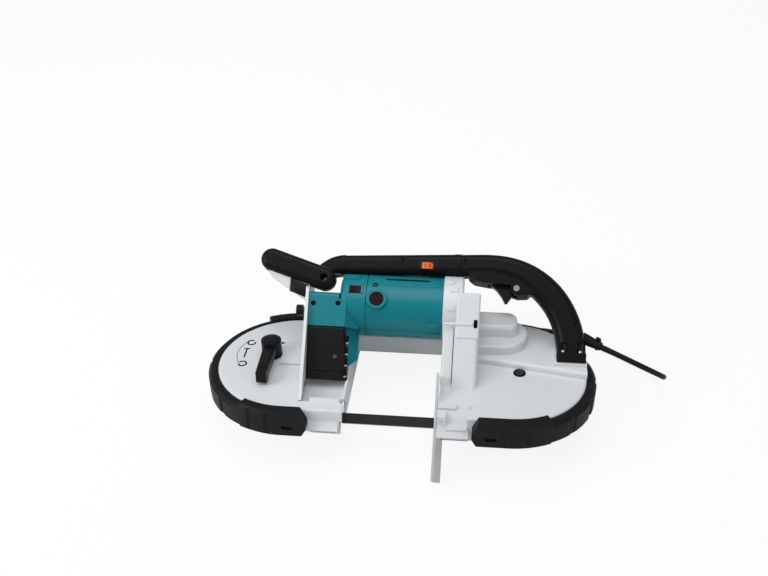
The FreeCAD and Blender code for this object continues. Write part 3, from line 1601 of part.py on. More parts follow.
def whole_box(shapes):
    """Box around a group of shapes."""
    box = FreeCAD.BoundBox()
    for shape in shapes:
        box.add(shape.optimalBoundingBox())
    return box


def seat_lift(shapes):
    """Shift that puts the lying saw's box on the floor, with the origin at its bottom centre."""
    lying = [seated(shape, Vector()) for shape in shapes]
    box = whole_box(lying)
    return Vector(-(box.XMin + box.XMax) / 2, -(box.YMin + box.YMax) / 2, -box.ZMin)


def cord_shapes(lift):
    """Cord from the guard to the coil, the coil, its tie and the plug, as they lie on the floor."""
    axis = seated(to_saw(Part.makeLine(Vector(*guard_start, motor_c), Vector(*guard_end, motor_c))), lift)
    leave = axis.Vertexes[0].Point
    exit_point = axis.Vertexes[1].Point
    way = (exit_point - leave).normalize()
    print("cord exit", [round(value, 2) for value in exit_point], [round(value, 3) for value in way])
    level = cord_d / 2 + tie_t + fit
    coil, states = coil_path(level)
    joint = states[0][0] - states[0][1] * cord_d
    points = [exit_point, exit_point + way * cord_straight]
    points += [Vector(*point) for point in cord_route]
    points += [joint - states[0][1] * cord_last_run, joint]
    lead, radii = rounded_path(points)
    print("cord radii", [round(radius, 1) for radius in radii])
    print("coil starts at", [round(value, 2) for value in joint], "coil gap", round(coil_gap(coil), 3))
    shapes = {"cord_lead": tube_on(lead), "cord_coil": tube_on(coil)}
    area = pi * cord_d ** 2 / 4
    for name, path in (("cord_lead", lead), ("cord_coil", coil)):
        share = shapes[name].Volume / (area * path.Length)
        print(name, "length", round(path.Length, 1), "volume share", round(share, 4))
    end = states[-1][0] + states[-1][1] * coil_tail
    shapes["cord_tie"] = cord_tie(level)
    level_way = Vector(states[-1][1].x, states[-1][1].y, 0).normalize()
    shapes["plug"] = plug(end, level_way)
    return shapes


def main():
    """Build, seat and export every piece."""
    saw = rigid_shapes()
    lift = seat_lift(saw.values())
    print("tilt", round(rest_tilt(), 4), "lift", [round(value, 4) for value in lift])
    nodes = {name: seated(shape, lift) for name, shape in saw.items()}
    nodes["cord_guard"] = seated(cord_guard(), lift)
    nodes.update(cord_shapes(lift))
    for name, shape in nodes.items():
        print(name, shape.ShapeType, len(shape.Solids), shape.isValid(), round(shape.Volume))
        single(shape).exportStep("parts/" + name + ".step")
    print(len(nodes), "pieces")


main()
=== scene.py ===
# %% [markdown]
# # A portable band saw, dressed for its picture
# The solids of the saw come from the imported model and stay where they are. This lesson gives every
# solid a finish, adds the small pieces that a machined solid lacks, such as screws, teeth and seams,
# and lays the mains lead behind the saw. Each step says what the piece is on the real tool, how it
# could be made, and why it is made this way.

# %% Load the saw
import json
from math import atan2, cos, degrees, pi, radians, sin

import bpy
from mathutils import Matrix, Vector


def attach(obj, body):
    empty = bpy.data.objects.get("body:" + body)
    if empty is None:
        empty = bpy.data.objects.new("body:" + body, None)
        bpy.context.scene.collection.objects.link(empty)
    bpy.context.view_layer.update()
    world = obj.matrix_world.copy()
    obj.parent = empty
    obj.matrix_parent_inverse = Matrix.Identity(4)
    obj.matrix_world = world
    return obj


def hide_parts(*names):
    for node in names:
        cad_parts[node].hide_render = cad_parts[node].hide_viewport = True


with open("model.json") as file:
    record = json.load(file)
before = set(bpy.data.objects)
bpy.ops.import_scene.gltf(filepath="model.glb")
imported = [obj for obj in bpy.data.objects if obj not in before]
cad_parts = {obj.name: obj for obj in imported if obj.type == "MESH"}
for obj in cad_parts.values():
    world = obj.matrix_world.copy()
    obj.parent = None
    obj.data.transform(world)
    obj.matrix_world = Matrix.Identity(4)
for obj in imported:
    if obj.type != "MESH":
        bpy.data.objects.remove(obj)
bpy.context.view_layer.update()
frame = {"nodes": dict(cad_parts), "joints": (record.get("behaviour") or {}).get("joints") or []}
nodes = frame["nodes"]
joints = {joint["name"]: joint for joint in frame["joints"]}
mm = 0.001

# %% [markdown]
# ## Two ways to point at a place
# The saw lies tilted, on its far edge and on the foot of its stop plate. It is easier to model it as it
# was drawn: in the *saw frame*, where Z runs along the wheel axles, or in the *cut frame*, which leans 45
# degrees with the blade, the motor and the handle. The axle of the drive wheel shows how far the saw
# leans on the floor, so both frames are worked out from that joint.

# %% Frames of the saw
axle = Vector(joints["drive_wheel_spin"]["axis"])
axle_point = Vector(joints["drive_wheel_spin"]["pos_m"])
tilt = atan2(axle.y, axle.z)
blade_height = 22.5 * mm
lean = Matrix.Rotation(-tilt, 4, "X")
rest = axle_point - lean @ Vector((axle_point.x, 0, blade_height))
saw_frame = Matrix.Translation(rest) @ lean
cut_lean = radians(45)
cut_frame = saw_frame @ Matrix.Rotation(cut_lean, 4, "X")


def cut_point(x, s, c):
    """Point of the cut frame in millimetres, on the floor in metres."""
    return cut_frame @ (Vector((x, s, c)) * mm)


print("the saw leans", round(degrees(tilt), 2), "degrees")

# %% [markdown]
# ## The camera
# The picture was taken from in front, a little to the right and well above the saw. Working back from
# the ellipses of the two housings gives the camera's place. The saw lies low in the picture, so the lens
# is shifted instead of turned, which keeps the upright edges as they are.

# %% Camera
picture_width = 768
picture_height = 576
lens_pixels = 977.0
aim_pixel = (401.0, 367.0)
camera_yaw = radians(5.3)
camera_rise = radians(36.4)
camera_roll = radians(-0.1)
camera_distance = 1300.0
film_width = 36.0
view_limit = 50.0
aim = Vector((0, 0, 48.0))
away = Vector((sin(camera_yaw) * cos(camera_rise), -cos(camera_yaw) * cos(camera_rise), sin(camera_rise)))
side = Vector((cos(camera_yaw), sin(camera_yaw), 0))
above = away.cross(side)
turned_side = side * cos(camera_roll) + above * sin(camera_roll)
turned_above = above * cos(camera_roll) - side * sin(camera_roll)
camera_turn = Matrix((turned_side, turned_above, away)).transposed().to_4x4()

bpy.ops.object.select_all(action="DESELECT")
bpy.ops.object.camera_add()
camera = bpy.context.object
camera.name = "picture_camera"
camera.matrix_world = saw_frame @ Matrix.Translation((aim + away * camera_distance) * mm) @ camera_turn
camera.data.sensor_width = film_width
camera.data.lens = lens_pixels / picture_width * film_width
camera.data.shift_x = (picture_width / 2 - aim_pixel[0]) / picture_width
camera.data.shift_y = (aim_pixel[1] - picture_height / 2) / picture_width
camera.data.clip_end = view_limit
bpy.context.scene.camera = camera
print("camera at", [round(value, 3) for value in camera.location])

# %% [markdown]
# ## Floor and light
# The saw stands on white paper in a studio with large soft lamps. The floor is a plain sheet that shows
# white to the camera and still takes the saw's soft shadow. Wide area lamps from above and from the left
# give the long soft shine along the motor and the handle.

# %% Studio
paper_white = 0.92
paper_glow = 0.88
sky_level = 0.32
floor_size = 8


def node_of(tree, kind, **values):
    """New node with its input sockets set."""
    node = tree.nodes.new(kind)
    for name, value in values.items():
        node.inputs[name.replace("_", " ")].default_value = value
    return node


def seen_directly(tree):
    """Socket that is one for rays from the camera."""
    path = tree.nodes.new("ShaderNodeLightPath")
    return path.outputs["Is Camera Ray"]


def paper_material():
    """White paper that keeps a soft shadow."""
    material = bpy.data.materials.new("studio_paper")
    material.use_nodes = True
    tree = material.node_tree
    tree.nodes.clear()
    output = tree.nodes.new("ShaderNodeOutputMaterial")
    paper = node_of(tree, "ShaderNodeBsdfDiffuse", Color=(paper_white, paper_white, paper_white, 1))
    glow = node_of(tree, "ShaderNodeEmission", Color=(1, 1, 1, 1), Strength=1.0)
    share = tree.nodes.new("ShaderNodeMath")
    share.operation = "MULTIPLY"
    share.inputs[1].default_value = paper_glow
    tree.links.new(seen_directly(tree), share.inputs[0])
    mix = tree.nodes.new("ShaderNodeMixShader")
    tree.links.new(share.outputs[0], mix.inputs[0])
    tree.links.new(paper.outputs[0], mix.inputs[1])
    tree.links.new(glow.outputs[0], mix.inputs[2])
    tree.links.new(mix.outputs[0], output.inputs["Surface"])
    return material


def studio_world():
    """Even pale surroundings, white to the camera."""
    world = bpy.data.worlds.new("studio")
    world.use_nodes = True
    tree = world.node_tree
    background = tree.nodes["Background"]
    background.inputs["Color"].default_value = (1, 1, 1, 1)
    level = tree.nodes.new("ShaderNodeMapRange")
    level.inputs["To Min"].default_value = sky_level
    level.inputs["To Max"].default_value = 1.0
    tree.links.new(seen_directly(tree), level.inputs["Value"])
    tree.links.new(level.outputs["Result"], background.inputs["Strength"])
    return world


def soft_lamp(name, place, target, width, power):
    """Square area lamp that faces a point."""
    bpy.ops.object.select_all(action="DESELECT")
    bpy.ops.object.light_add(type="AREA", location=place)
    lamp = bpy.context.object
    lamp.name = name
    lamp.data.size = width
    lamp.data.energy = power
    lamp.rotation_euler = (Vector(target) - Vector(place)).to_track_quat("-Z", "Y").to_euler()
    return lamp


bpy.ops.object.select_all(action="DESELECT")
bpy.ops.mesh.primitive_plane_add(size=floor_size)
floor = bpy.context.object
floor.name = "studio_floor"
floor.data.materials.append(paper_material())
bpy.context.scene.world = studio_world()
bpy.context.scene.view_settings.view_transform = "Standard"
soft_lamp("top_lamp", place=(-0.1, 0.35, 1.9), target=(0, 0, 0.05), width=1.4, power=16)
soft_lamp("left_lamp", place=(-1.5, -0.5, 1.3), target=(-0.15, 0, 0.08), width=1.0, power=17)
soft_lamp("right_lamp", place=(1.5, -0.9, 1.0), target=(0, 0, 0.08), width=0.9, power=5)
print("studio ready")

# %% [markdown]
# ## Finishes
# A plain colour makes metal, rubber and plastic look alike. Each finish here mixes a broad colour drift,
# a fine grain in the roughness and a small bump, all from noise on the object's own coordinates, so it
# keeps its scale on every piece and from every side.

# %% Finish maker
gloss_spread = 0.08
least_rough = 0.02
drift_lift = 0.01
mix_a, mix_b, mix_result = 6, 7, 2


def finish(name, color, rough, metal=0.0, drift=0.06, drift_size=14.0, grain=900.0, bump=0.15, depth=0.0002,
           stretch=(1, 1, 1), coat=0.0, shine=0.5):
    """Procedural finish: colour drift, uneven gloss and a fine bump."""
    material = bpy.data.materials.new(name)
    material.use_nodes = True
    tree = material.node_tree
    shader = tree.nodes["Principled BSDF"]
    place = tree.nodes.new("ShaderNodeTexCoord")
    scale = tree.nodes.new("ShaderNodeMapping")
    scale.inputs["Scale"].default_value = stretch
    tree.links.new(place.outputs["Object"], scale.inputs["Vector"])
    broad = node_of(tree, "ShaderNodeTexNoise", Scale=drift_size, Detail=3.0)
    tree.links.new(place.outputs["Object"], broad.inputs["Vector"])
    fine = node_of(tree, "ShaderNodeTexNoise", Scale=grain, Detail=4.0, Roughness=0.6)
    tree.links.new(scale.outputs["Vector"], fine.inputs["Vector"])
    tones = tree.nodes.new("ShaderNodeMix")
    tones.data_type = "RGBA"
    dark = [value * (1 - drift) for value in color]
    light = [min(value * (1 + drift) + drift * drift_lift, 1) for value in color]
    tones.inputs[mix_a].default_value = (*dark, 1)
    tones.inputs[mix_b].default_value = (*light, 1)
    tree.links.new(broad.outputs["Fac"], tones.inputs[0])
    tree.links.new(tones.outputs[mix_result], shader.inputs["Base Color"])
    gloss = tree.nodes.new("ShaderNodeMapRange")
    gloss.inputs["To Min"].default_value = max(rough - gloss_spread, least_rough)
    gloss.inputs["To Max"].default_value = min(rough + gloss_spread, 1)
    tree.links.new(fine.outputs["Fac"], gloss.inputs["Value"])
    tree.links.new(gloss.outputs["Result"], shader.inputs["Roughness"])
    relief = node_of(tree, "ShaderNodeBump", Strength=bump, Distance=depth)
    tree.links.new(fine.outputs["Fac"], relief.inputs["Height"])
    tree.links.new(relief.outputs["Normal"], shader.inputs["Normal"])
    shader.inputs["Metallic"].default_value = metal
    shader.inputs["Coat Weight"].default_value = coat
    shader.inputs["Specular IOR Level"].default_value = shine
    return material


def dress(names, material):
    """Give CAD solids a finish."""
    for name in names:
        piece = nodes[name]
        piece.data.materials.clear()
        piece.data.materials.append(material)
        for polygon in piece.data.polygons:
            polygon.material_index = 0


# %% [markdown]
# ## One finish for each material
# The castings are painted grey, the motor is teal plastic, and the grips and bumpers are black. Black plastic
# still reflects the bright studio and soon looks grey, so its shine is kept low. Sharing one finish between
# all solids of a material keeps them alike.

# %% Finishes of the saw
cast_paint = finish("cast_grey_paint", (0.69, 0.72, 0.745), 0.38, drift=0.03, grain=420, bump=0.10, coat=0.15)
bumper_rubber = finish("bumper_rubber", (0.006, 0.0065, 0.0075), 0.50, drift=0.25, grain=1600, bump=0.25,
                       shine=0.16)
teal_plastic = finish("teal_plastic", (0.0, 0.195, 0.235), 0.34, drift=0.06, grain=1800, bump=0.12, shine=0.3)
black_plastic = finish("black_plastic", (0.005, 0.0052, 0.006), 0.34, drift=0.2, grain=2200, bump=0.2,
                       shine=0.16)
grip_plastic = finish("grip_plastic", (0.004, 0.0042, 0.005), 0.36, drift=0.2, grain=1300, bump=0.4,
                      shine=0.13)
rocker_plastic = finish("rocker_plastic", (0.02, 0.004, 0.004), 0.30, drift=0.1, grain=2000, bump=0.05,
                        shine=0.14)
# Light grey: the lock button's own colour, and on the lamp cover's fins a painted highlight.
button_grey_and_fin_highlight = finish("button_grey_and_fin_highlight", (0.30, 0.31, 0.32), 0.30, drift=0.1, grain=2000, bump=0.1)
orange_plastic = finish("orange_plastic", (0.75, 0.16, 0.02), 0.42, drift=0.08, grain=1600, bump=0.1)
carbon = finish("pressed_carbon", (0.03, 0.03, 0.032), 0.7, drift=0.2, grain=900, bump=0.4)
machined_steel = finish("machined_steel", (0.50, 0.50, 0.51), 0.34, metal=1.0, grain=260, stretch=(1, 1, 14),
                        bump=0.1)
cast_metal = finish("turned_metal", (0.58, 0.58, 0.59), 0.40, metal=1.0, grain=300, bump=0.15)
tyre_rubber = finish("tyre_rubber", (0.025, 0.025, 0.025), 0.7, drift=0.2, grain=1200, bump=0.2)
blade_steel = finish("blade_steel", (0.05, 0.052, 0.056), 0.36, metal=1.0, drift=0.3, drift_size=60,
                     grain=500, stretch=(0.1, 1, 1), bump=0.12)
plate_steel = finish("plate_steel", (0.90, 0.91, 0.92), 0.30, metal=0.8, drift=0.05, grain=300,
                     stretch=(1, 0.12, 0.12), bump=0.08)
screw_steel = finish("screw_steel", (0.42, 0.43, 0.44), 0.3, metal=1.0, drift=0.1, grain=700, bump=0.1)
dark_screw = finish("dark_screw", (0.10, 0.10, 0.105), 0.34, metal=1.0, drift=0.1, grain=700, bump=0.1)
shadow_gap = finish("shadow_gap", (0.003, 0.003, 0.0035), 0.75, drift=0.1, grain=900, bump=0.1, shine=0.08)
cord_sheath = finish("cord_sheath", (0.005, 0.005, 0.0055), 0.48, drift=0.2, grain=1500, bump=0.25,
                     shine=0.22)
tube_glass = finish("tube_glass", (0.85, 0.88, 0.9), 0.2, drift=0.02, grain=600, bump=0.02)
dress(["main_frame", "gear_case", "gear_cover", "grip_bracket", "guide_block_left",
       "guide_block_right"], cast_paint)
dress(["bumper_left", "bumper_right"], bumper_rubber)
dress(["motor_housing", "motor_end_cover", "lamp_housing"], teal_plastic)
dress(["lamp_cover", "trigger", "switch_body", "brush_cap_near", "brush_cap_far", "motor_fan",
       "tension_lever"], black_plastic)
dress(["lock_button"], button_grey_and_fin_highlight)
dress(["front_grip", "handle_link", "handle_near", "handle_far"], grip_plastic)
dress(["lamp_switch"], rocker_plastic)
dress(["speed_dial"], orange_plastic)
dress(["brush_near", "brush_far"], carbon)
dress(["lamp_tube"], tube_glass)
dress(["armature", "field_core", "bearing_rear", "bearing_front", "layshaft", "first_gear", "countershaft",
       "bevel_gear", "final_gear", "drive_shaft", "idler_axle", "tension_slide", "tension_cam",
       "guide_roller_left_near", "guide_roller_left_far", "guide_roller_right_near",
       "guide_roller_right_far"], machined_steel)
dress(["drive_wheel", "idler_wheel"], cast_metal)
dress(["drive_tyre", "idler_tyre"], tyre_rubber)
dress(["saw_blade"], blade_steel)
dress(["stop_plate", "stop_bolt_near", "stop_bolt_far"], plate_steel)
dress(["cord_guard", "cord_lead", "cord_coil", "cord_tie", "plug"], cord_sheath)
print("finishes given to", len(nodes), "solids")

# %% [markdown]
# ## Tools for small pieces
# Screws, seams and marks are all made in the same few moves: a primitive is added at its size, faces or
# edges are picked by their place, and they are inset, extruded or bevelled. Each piece is modelled in
# millimetres at the origin with its Z pointing out, which keeps the numbers small, and is then taken to
# its place on the saw, with the place written into its mesh.

# %% Modelling tools
touch = 0.001
pad_steps = 5
rim_steps = 2


def named(name):
    """Name the object that was just added."""
    piece = bpy.context.object
    piece.name = name
    piece.data.name = name
    return piece


def new_box(name, size):
    """Box around the origin, ready to be shaped."""
    bpy.ops.object.select_all(action="DESELECT")
    bpy.ops.mesh.primitive_cube_add(size=1, scale=size)
    bpy.ops.object.transform_apply(location=False, rotation=False, scale=True)
    return named(name)


def new_drum(name, radius, height, sides):
    """Drum around the origin, ready to be shaped."""
    bpy.ops.object.select_all(action="DESELECT")
    bpy.ops.mesh.primitive_cylinder_add(vertices=sides, radius=radius, depth=height)
    return named(name)


def pick_faces(piece, test):
    """Open a piece for editing with the faces selected whose centre and normal pass a test."""
    bpy.ops.object.mode_set(mode="EDIT")
    bpy.ops.mesh.select_mode(type="FACE")
    bpy.ops.mesh.select_all(action="DESELECT")
    bpy.ops.object.mode_set(mode="OBJECT")
    for polygon in piece.data.polygons:
        polygon.select = test(polygon.center, polygon.normal)
    bpy.ops.object.mode_set(mode="EDIT")


def pick_edges(piece, test):
    """Open a piece for editing with the edges selected whose two ends pass a test."""
    bpy.ops.object.mode_set(mode="EDIT")
    bpy.ops.mesh.select_mode(type="EDGE")
    bpy.ops.mesh.select_all(action="DESELECT")
    bpy.ops.object.mode_set(mode="OBJECT")
    points = [vertex.co.copy() for vertex in piece.data.vertices]
    for edge in piece.data.edges:
        edge.select = test(points[edge.vertices[0]], points[edge.vertices[1]])
    bpy.ops.object.mode_set(mode="EDIT")


def round_edges(piece, radius, steps, test):
    """Round the edges of a piece whose two ends pass a test."""
    pick_edges(piece, test)
    bpy.ops.mesh.bevel(offset=radius, segments=steps, affect="EDGES")
    bpy.ops.object.mode_set(mode="OBJECT")


def upright(one, two):
    """True for an edge along Z."""
    return (one - two).xy.length < touch


def at_height(level):
    """Test for edges that lie at a height or over it."""
    return lambda one, two: min(one.z, two.z) > level - touch


def copied(piece, name):
    """Copy of a piece with a mesh of its own."""
    bpy.ops.object.select_all(action="DESELECT")
    piece.select_set(True)
    bpy.context.view_layer.objects.active = piece
    bpy.ops.object.duplicate(linked=False)
    return named(name)


def carve(piece, cutter):
    """Take a cutter's shape out of a piece."""
    bpy.ops.object.select_all(action="DESELECT")
    piece.select_set(True)
    bpy.context.view_layer.objects.active = piece
    carving = piece.modifiers.new("carving", "BOOLEAN")
    carving.object = cutter
    carving.solver = "EXACT"
    bpy.ops.object.modifier_apply(modifier="carving")
    bpy.data.objects.remove(cutter)


def place_on(frame_of_place, point, out=(0, 0, 1), along=(1, 0, 0)):
    """Place of a piece in millimetres: its Z turned to point out, its X along a direction."""
    up = Vector(out).normalized()
    ahead = Vector(along)
    ahead = (ahead - up * up.dot(ahead)).normalized()
    turn = Matrix((ahead, up.cross(ahead), up)).transposed().to_4x4()
    return frame_of_place @ Matrix.Translation(Vector(point) * mm) @ turn @ Matrix.Scale(mm, 4)


def settle(piece, place, material, body="frame", angle=35):
    """Write a piece's place into its mesh, dress it and let it ride on a body."""
    bpy.ops.object.select_all(action="DESELECT")
    piece.select_set(True)
    bpy.context.view_layer.objects.active = piece
    piece.matrix_world = place
    bpy.ops.object.transform_apply(location=True, rotation=True, scale=True)
    bpy.ops.object.shade_smooth_by_angle(angle=radians(angle))
    piece.data.materials.append(material)
    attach(piece, body)
    return piece


def settle_copies(piece, places, material, body="frame"):
    """Settle a piece at the first place, and a copy of it at each other place."""
    name = piece.name
    copies = [copied(piece, name + "_" + str(index + 1)) for index in range(1, len(places))]
    for each, place in zip([piece] + copies, places):
        settle(each, place, material, body)
    print(name, "x", len(places))


def lift_all(height):
    """Raise the whole piece that was shaped last, and end its editing."""
    bpy.ops.object.mode_set(mode="EDIT")
    bpy.ops.mesh.select_all(action="SELECT")
    bpy.ops.transform.translate(value=(0, 0, height))
    bpy.ops.object.mode_set(mode="OBJECT")


def new_pad(name, length, width, height, corner, rim):
    """Raised pad with round corners and a soft rim, its foot at Z = 0."""
    pad = new_box(name, (length, width, height))
    round_edges(pad, corner, pad_steps, upright)
    round_edges(pad, rim, rim_steps, at_height(height / 2))
    lift_all(height / 2)
    return pad


print("tools ready")

# %% [markdown]
# ## Teeth of the blade
# A band for metal has fine teeth along the edge that meets the work. One tooth is a small wedge, pulled
# to a point from a box, and an array repeats it across the throat. Modelling the teeth instead of
# painting them keeps the edge rough from every side.

# %% Blade teeth
tooth_pitch = 2.0
tooth_height = 1.3
blade_thick = 0.5
blade_edge = (-48.25, 73.57)
teeth_from = -69.0
teeth_to = 49.0
teeth_count = int((teeth_to - teeth_from) / tooth_pitch)
tip_share = 0.12
tip_set = 1.5
tip_lean = 0.36
tooth = new_box("blade_teeth", (tooth_pitch, tooth_height, blade_thick))
pick_faces(tooth, lambda centre, normal: normal.y < -0.5)
bpy.ops.transform.resize(value=(tip_share, 1, tip_set))
bpy.ops.transform.translate(value=(tooth_pitch * tip_lean, 0, 0))
bpy.ops.object.mode_set(mode="OBJECT")
row_of_teeth = tooth.modifiers.new("row", "ARRAY")
row_of_teeth.count = teeth_count
row_of_teeth.use_relative_offset = False
row_of_teeth.use_constant_offset = True
row_of_teeth.constant_offset_displace = (tooth_pitch, 0, 0)
bpy.ops.object.modifier_apply(modifier="row")
first_tooth = (teeth_from + tooth_pitch, blade_edge[0] - tooth_height / 2, blade_edge[1])
settle(tooth, place_on(cut_frame, first_tooth), blade_steel)
print("teeth:", teeth_count)

# %% [markdown]
# ## Screws
# All the housings are held by sunk cross-head screws. The head is a low drum with a crowned top, and a
# plus-shaped cutter takes the cross out of it. The screw is modelled once and copied to each place,
# together with the dark cup that it sits in.

# %% Screw and cup
screw_sides = 24
cup_sides = 32
cross_share = 0.3
cross_reach = 0.42
crown_share = 0.25
cup_depth = 0.75
cup_rim = 0.4


def new_screw(name, radius, height):
    """Screw head with a crowned top and a cross recess, its foot at Z = 0."""
    cross = new_box(name + "_cross", (radius * cross_share, radius * cross_share, height))
    pick_faces(cross, lambda centre, normal: abs(normal.z) < 0.5)
    bpy.ops.mesh.extrude_faces_move(TRANSFORM_OT_shrink_fatten={"value": radius * cross_reach})
    bpy.ops.object.mode_set(mode="OBJECT")
    cross.location.z = height
    head = new_drum(name, radius, height, screw_sides)
    pick_faces(head, lambda centre, normal: normal.z > 0.5)
    bpy.ops.mesh.inset(thickness=radius * cross_share)
    bpy.ops.transform.translate(value=(0, 0, height * crown_share))
    lift_all(height / 2)
    bpy.context.view_layer.update()
    carve(head, cross)
    return head


def new_cup(name, radius, height, wall):
    """Low round cup for a screw, its foot at Z = 0."""
    cup = new_drum(name, radius, height, cup_sides)
    pick_faces(cup, lambda centre, normal: normal.z > 0.5)
    bpy.ops.mesh.inset(thickness=wall)
    bpy.ops.mesh.extrude_region_move(TRANSFORM_OT_translate={"value": (0, 0, -height * cup_depth)})
    lift_all(height / 2)
    round_edges(cup, wall * cup_rim, rim_steps, at_height(height))
    return cup


print("screw and cup ready")

# %% [markdown]
# ## Where the screws sit
# Four screws hold the two halves of the handle, two hold the lamp's housing, and one each its cover, the
# grip and the motor's end. Each place has a point on the surface and the way that the screw looks out of
# it. In the picture most of them read as dark holes, so they get the finish of a shadow.

# %% Screws of the handle, the lamp and the motor
lamp_front = 61.0
handle_screws = [
    place_on(cut_frame, (-6.6, 181.0, 34.6), (0, 0.1, 1)),
    place_on(cut_frame, (174.9, 147.0, 35.6), (-0.2, -0.2, 0.95)),
    place_on(cut_frame, (226.6, 103.1, 36.6), (0.15, 0.1, 0.98)),
    place_on(cut_frame, (78.0, 183.0, 35.4), (0, 0.05, 1))]
handle_cup = new_cup("handle_screw_cup", radius=4.2, height=0.8, wall=1.0)
settle_copies(handle_cup, handle_screws, black_plastic)
settle_copies(new_screw("handle_screw", radius=2.4, height=0.6), handle_screws, shadow_gap)
lamp_screws = [place_on(cut_frame, (x, s, lamp_front)) for x, s in ((-119.5, 109.5), (-86.7, 110.8))]
lamp_cup = new_cup("lamp_screw_cup", radius=3.4, height=0.5, wall=0.5)
settle_copies(lamp_cup, lamp_screws, shadow_gap)
settle_copies(new_screw("lamp_screw", radius=2.3, height=0.3), lamp_screws, shadow_gap)
cover_screws = [place_on(cut_frame, (-85.4, 38.5, lamp_front))]
cover_cup = new_cup("cover_screw_cup", radius=3.8, height=0.7, wall=0.8)
settle_copies(cover_cup, cover_screws, black_plastic)
settle_copies(new_screw("cover_screw", radius=2.5, height=0.7), cover_screws, dark_screw)
grip_screws = [place_on(cut_frame, (-106.0, 142.5, 54.0))]
settle_copies(new_screw("grip_screw", radius=3.6, height=2.2), grip_screws, dark_screw)
motor_screws = [place_on(cut_frame, (-39.3, 138.8, 55.7), (0, 0.51, 0.86))]
motor_cup = new_cup("motor_screw_cup", radius=3.4, height=0.9, wall=0.6)
settle_copies(motor_cup, motor_screws, shadow_gap)
settle_copies(new_screw("motor_screw", radius=2.3, height=0.6), motor_screws, dark_screw)

# %% [markdown]
# ## Plates that follow the motor
# The motor's pads, seams and slots lie on a drum. Bending a flat plate onto a drum is awkward, so these
# pieces are spun instead: a small upright rectangle is set off from the axis by the drum's radius and
# turned about it, which gives a plate that fits the drum at every width.

# %% Arc plates
motor_axis = (118.6, 20.0)
motor_radius = 41.0
sharp_angle = radians(40)


def new_arc(name, width, inner, outer, sweep, steps, rim=0.0):
    """Plate around the X axis that starts at the Y axis and turns towards Z."""
    bpy.ops.object.select_all(action="DESELECT")
    bpy.ops.mesh.primitive_plane_add(size=1)
    plate = named(name)
    bpy.ops.object.mode_set(mode="EDIT")
    bpy.ops.mesh.select_all(action="SELECT")
    bpy.ops.transform.resize(value=(width, outer - inner, 1))
    bpy.ops.transform.translate(value=(0, (outer + inner) / 2, 0))
    bpy.ops.mesh.spin(steps=steps, angle=radians(sweep), center=(0, 0, 0), axis=(-1, 0, 0))
    bpy.ops.mesh.select_all(action="SELECT")
    bpy.ops.mesh.remove_doubles(threshold=touch)
    bpy.ops.mesh.normals_make_consistent(inside=False)
    if rim:
        bpy.ops.mesh.select_mode(type="EDGE")
        bpy.ops.mesh.select_all(action="DESELECT")
        bpy.ops.mesh.edges_select_sharp(sharpness=sharp_angle)
        bpy.ops.mesh.bevel(offset=rim, segments=rim_steps, affect="EDGES")
    bpy.ops.object.mode_set(mode="OBJECT")
    return plate


def round_motor(x, start):
    """Place at a length along the motor, with the plate's start turned from the handle side to the front."""
    out = (0, -sin(radians(start)), cos(radians(start)))
    return place_on(cut_frame, (x, *motor_axis), out)


print("arc plates ready")

# %% [markdown]
# ## Trim of the motor
# The motor's plastic shell has a raised panel with a long air slot, pads and a boss for its screws, and a
# thin seam where the end cover meets it. They could be painted on, but from the side they would vanish, so
# each one is an arc plate that stands a few tenths of a millimetre off the drum. The slot's plate is dark
# and paints the shade inside the slot.

# %% Motor slot, pads and seams
def motor_plate(name, x, start, material, slot, **size):
    """Arc plate on the motor, at a length along it and a turn around it."""
    return settle(new_arc(name, **size), round_motor(x, start), material)


motor_plate("motor_panel", 8.5, 27.0, teal_plastic, "teal_plastic",
            width=77.0, inner=40.5, outer=41.6, sweep=33.0, steps=12, rim=0.4)
# Dark plate that paints the shade inside the air slot.
motor_plate("motor_slot_shade", 2.9, 40.8, shadow_gap, "black_plastic",
            width=58.6, inner=41.0, outer=41.8, sweep=5.2, steps=4)
motor_plate("end_cover_pad", -72.5, 31.0, teal_plastic, "teal_plastic",
            width=21.0, inner=38.5, outer=42.6, sweep=16.0, steps=8, rim=0.8)
motor_plate("motor_boss", 41.5, 130.6, teal_plastic, "teal_plastic",
            width=19.0, inner=40.5, outer=43.4, sweep=12.0, steps=6, rim=0.8)
motor_plate("motor_lower_rib", 0, 156.0, teal_plastic, "teal_plastic",
            width=105.0, inner=40.5, outer=42.2, sweep=3.6, steps=2, rim=0.5)
motor_plate("motor_seam", -50.6, -15.0, shadow_gap, "black_plastic",
            width=0.7, inner=40.6, outer=41.15, sweep=215.0, steps=48)
motor_plate("motor_front_band", 50.4, -15.0, teal_plastic, "teal_plastic",
            width=2.2, inner=40.5, outer=41.5, sweep=215.0, steps=48, rim=0.3)
print("motor trimmed")

# %% [markdown]
# ## Frames of the rocker and the brush
# The lamp's rocker sits in a small frame on the end cover, and the motor's carbon brush behind a round cap.
# The rocker's frame is an arc plate with a window carved through it. The cap is a cup with a second, dark red
# cup in it: the red is the inside's own colour, and its darkness is painted shade of the cap's hollow.

# %% Switch frame and brush ring
switch_sweep = 19.0
switch_frame = new_arc("switch_frame", width=21.0, inner=40.2, outer=41.9, sweep=switch_sweep, steps=8,
                       rim=0.4)
window = new_box("switch_window", (15.4, 11.2, 20.0))
window_turn = Matrix.Rotation(radians(switch_sweep / 2), 4, "X")
window.matrix_world = window_turn @ Matrix.Translation((0, motor_radius, 0))
bpy.context.view_layer.update()
carve(switch_frame, window)
settle(switch_frame, round_motor(-65.5, 62.0), teal_plastic)
brush_x = -36.9
brush_ring = new_cup("brush_ring", radius=13.0, height=3.2, wall=2.8)
settle(brush_ring, place_on(cut_frame, (brush_x, motor_axis[0], 60.2)), teal_plastic)
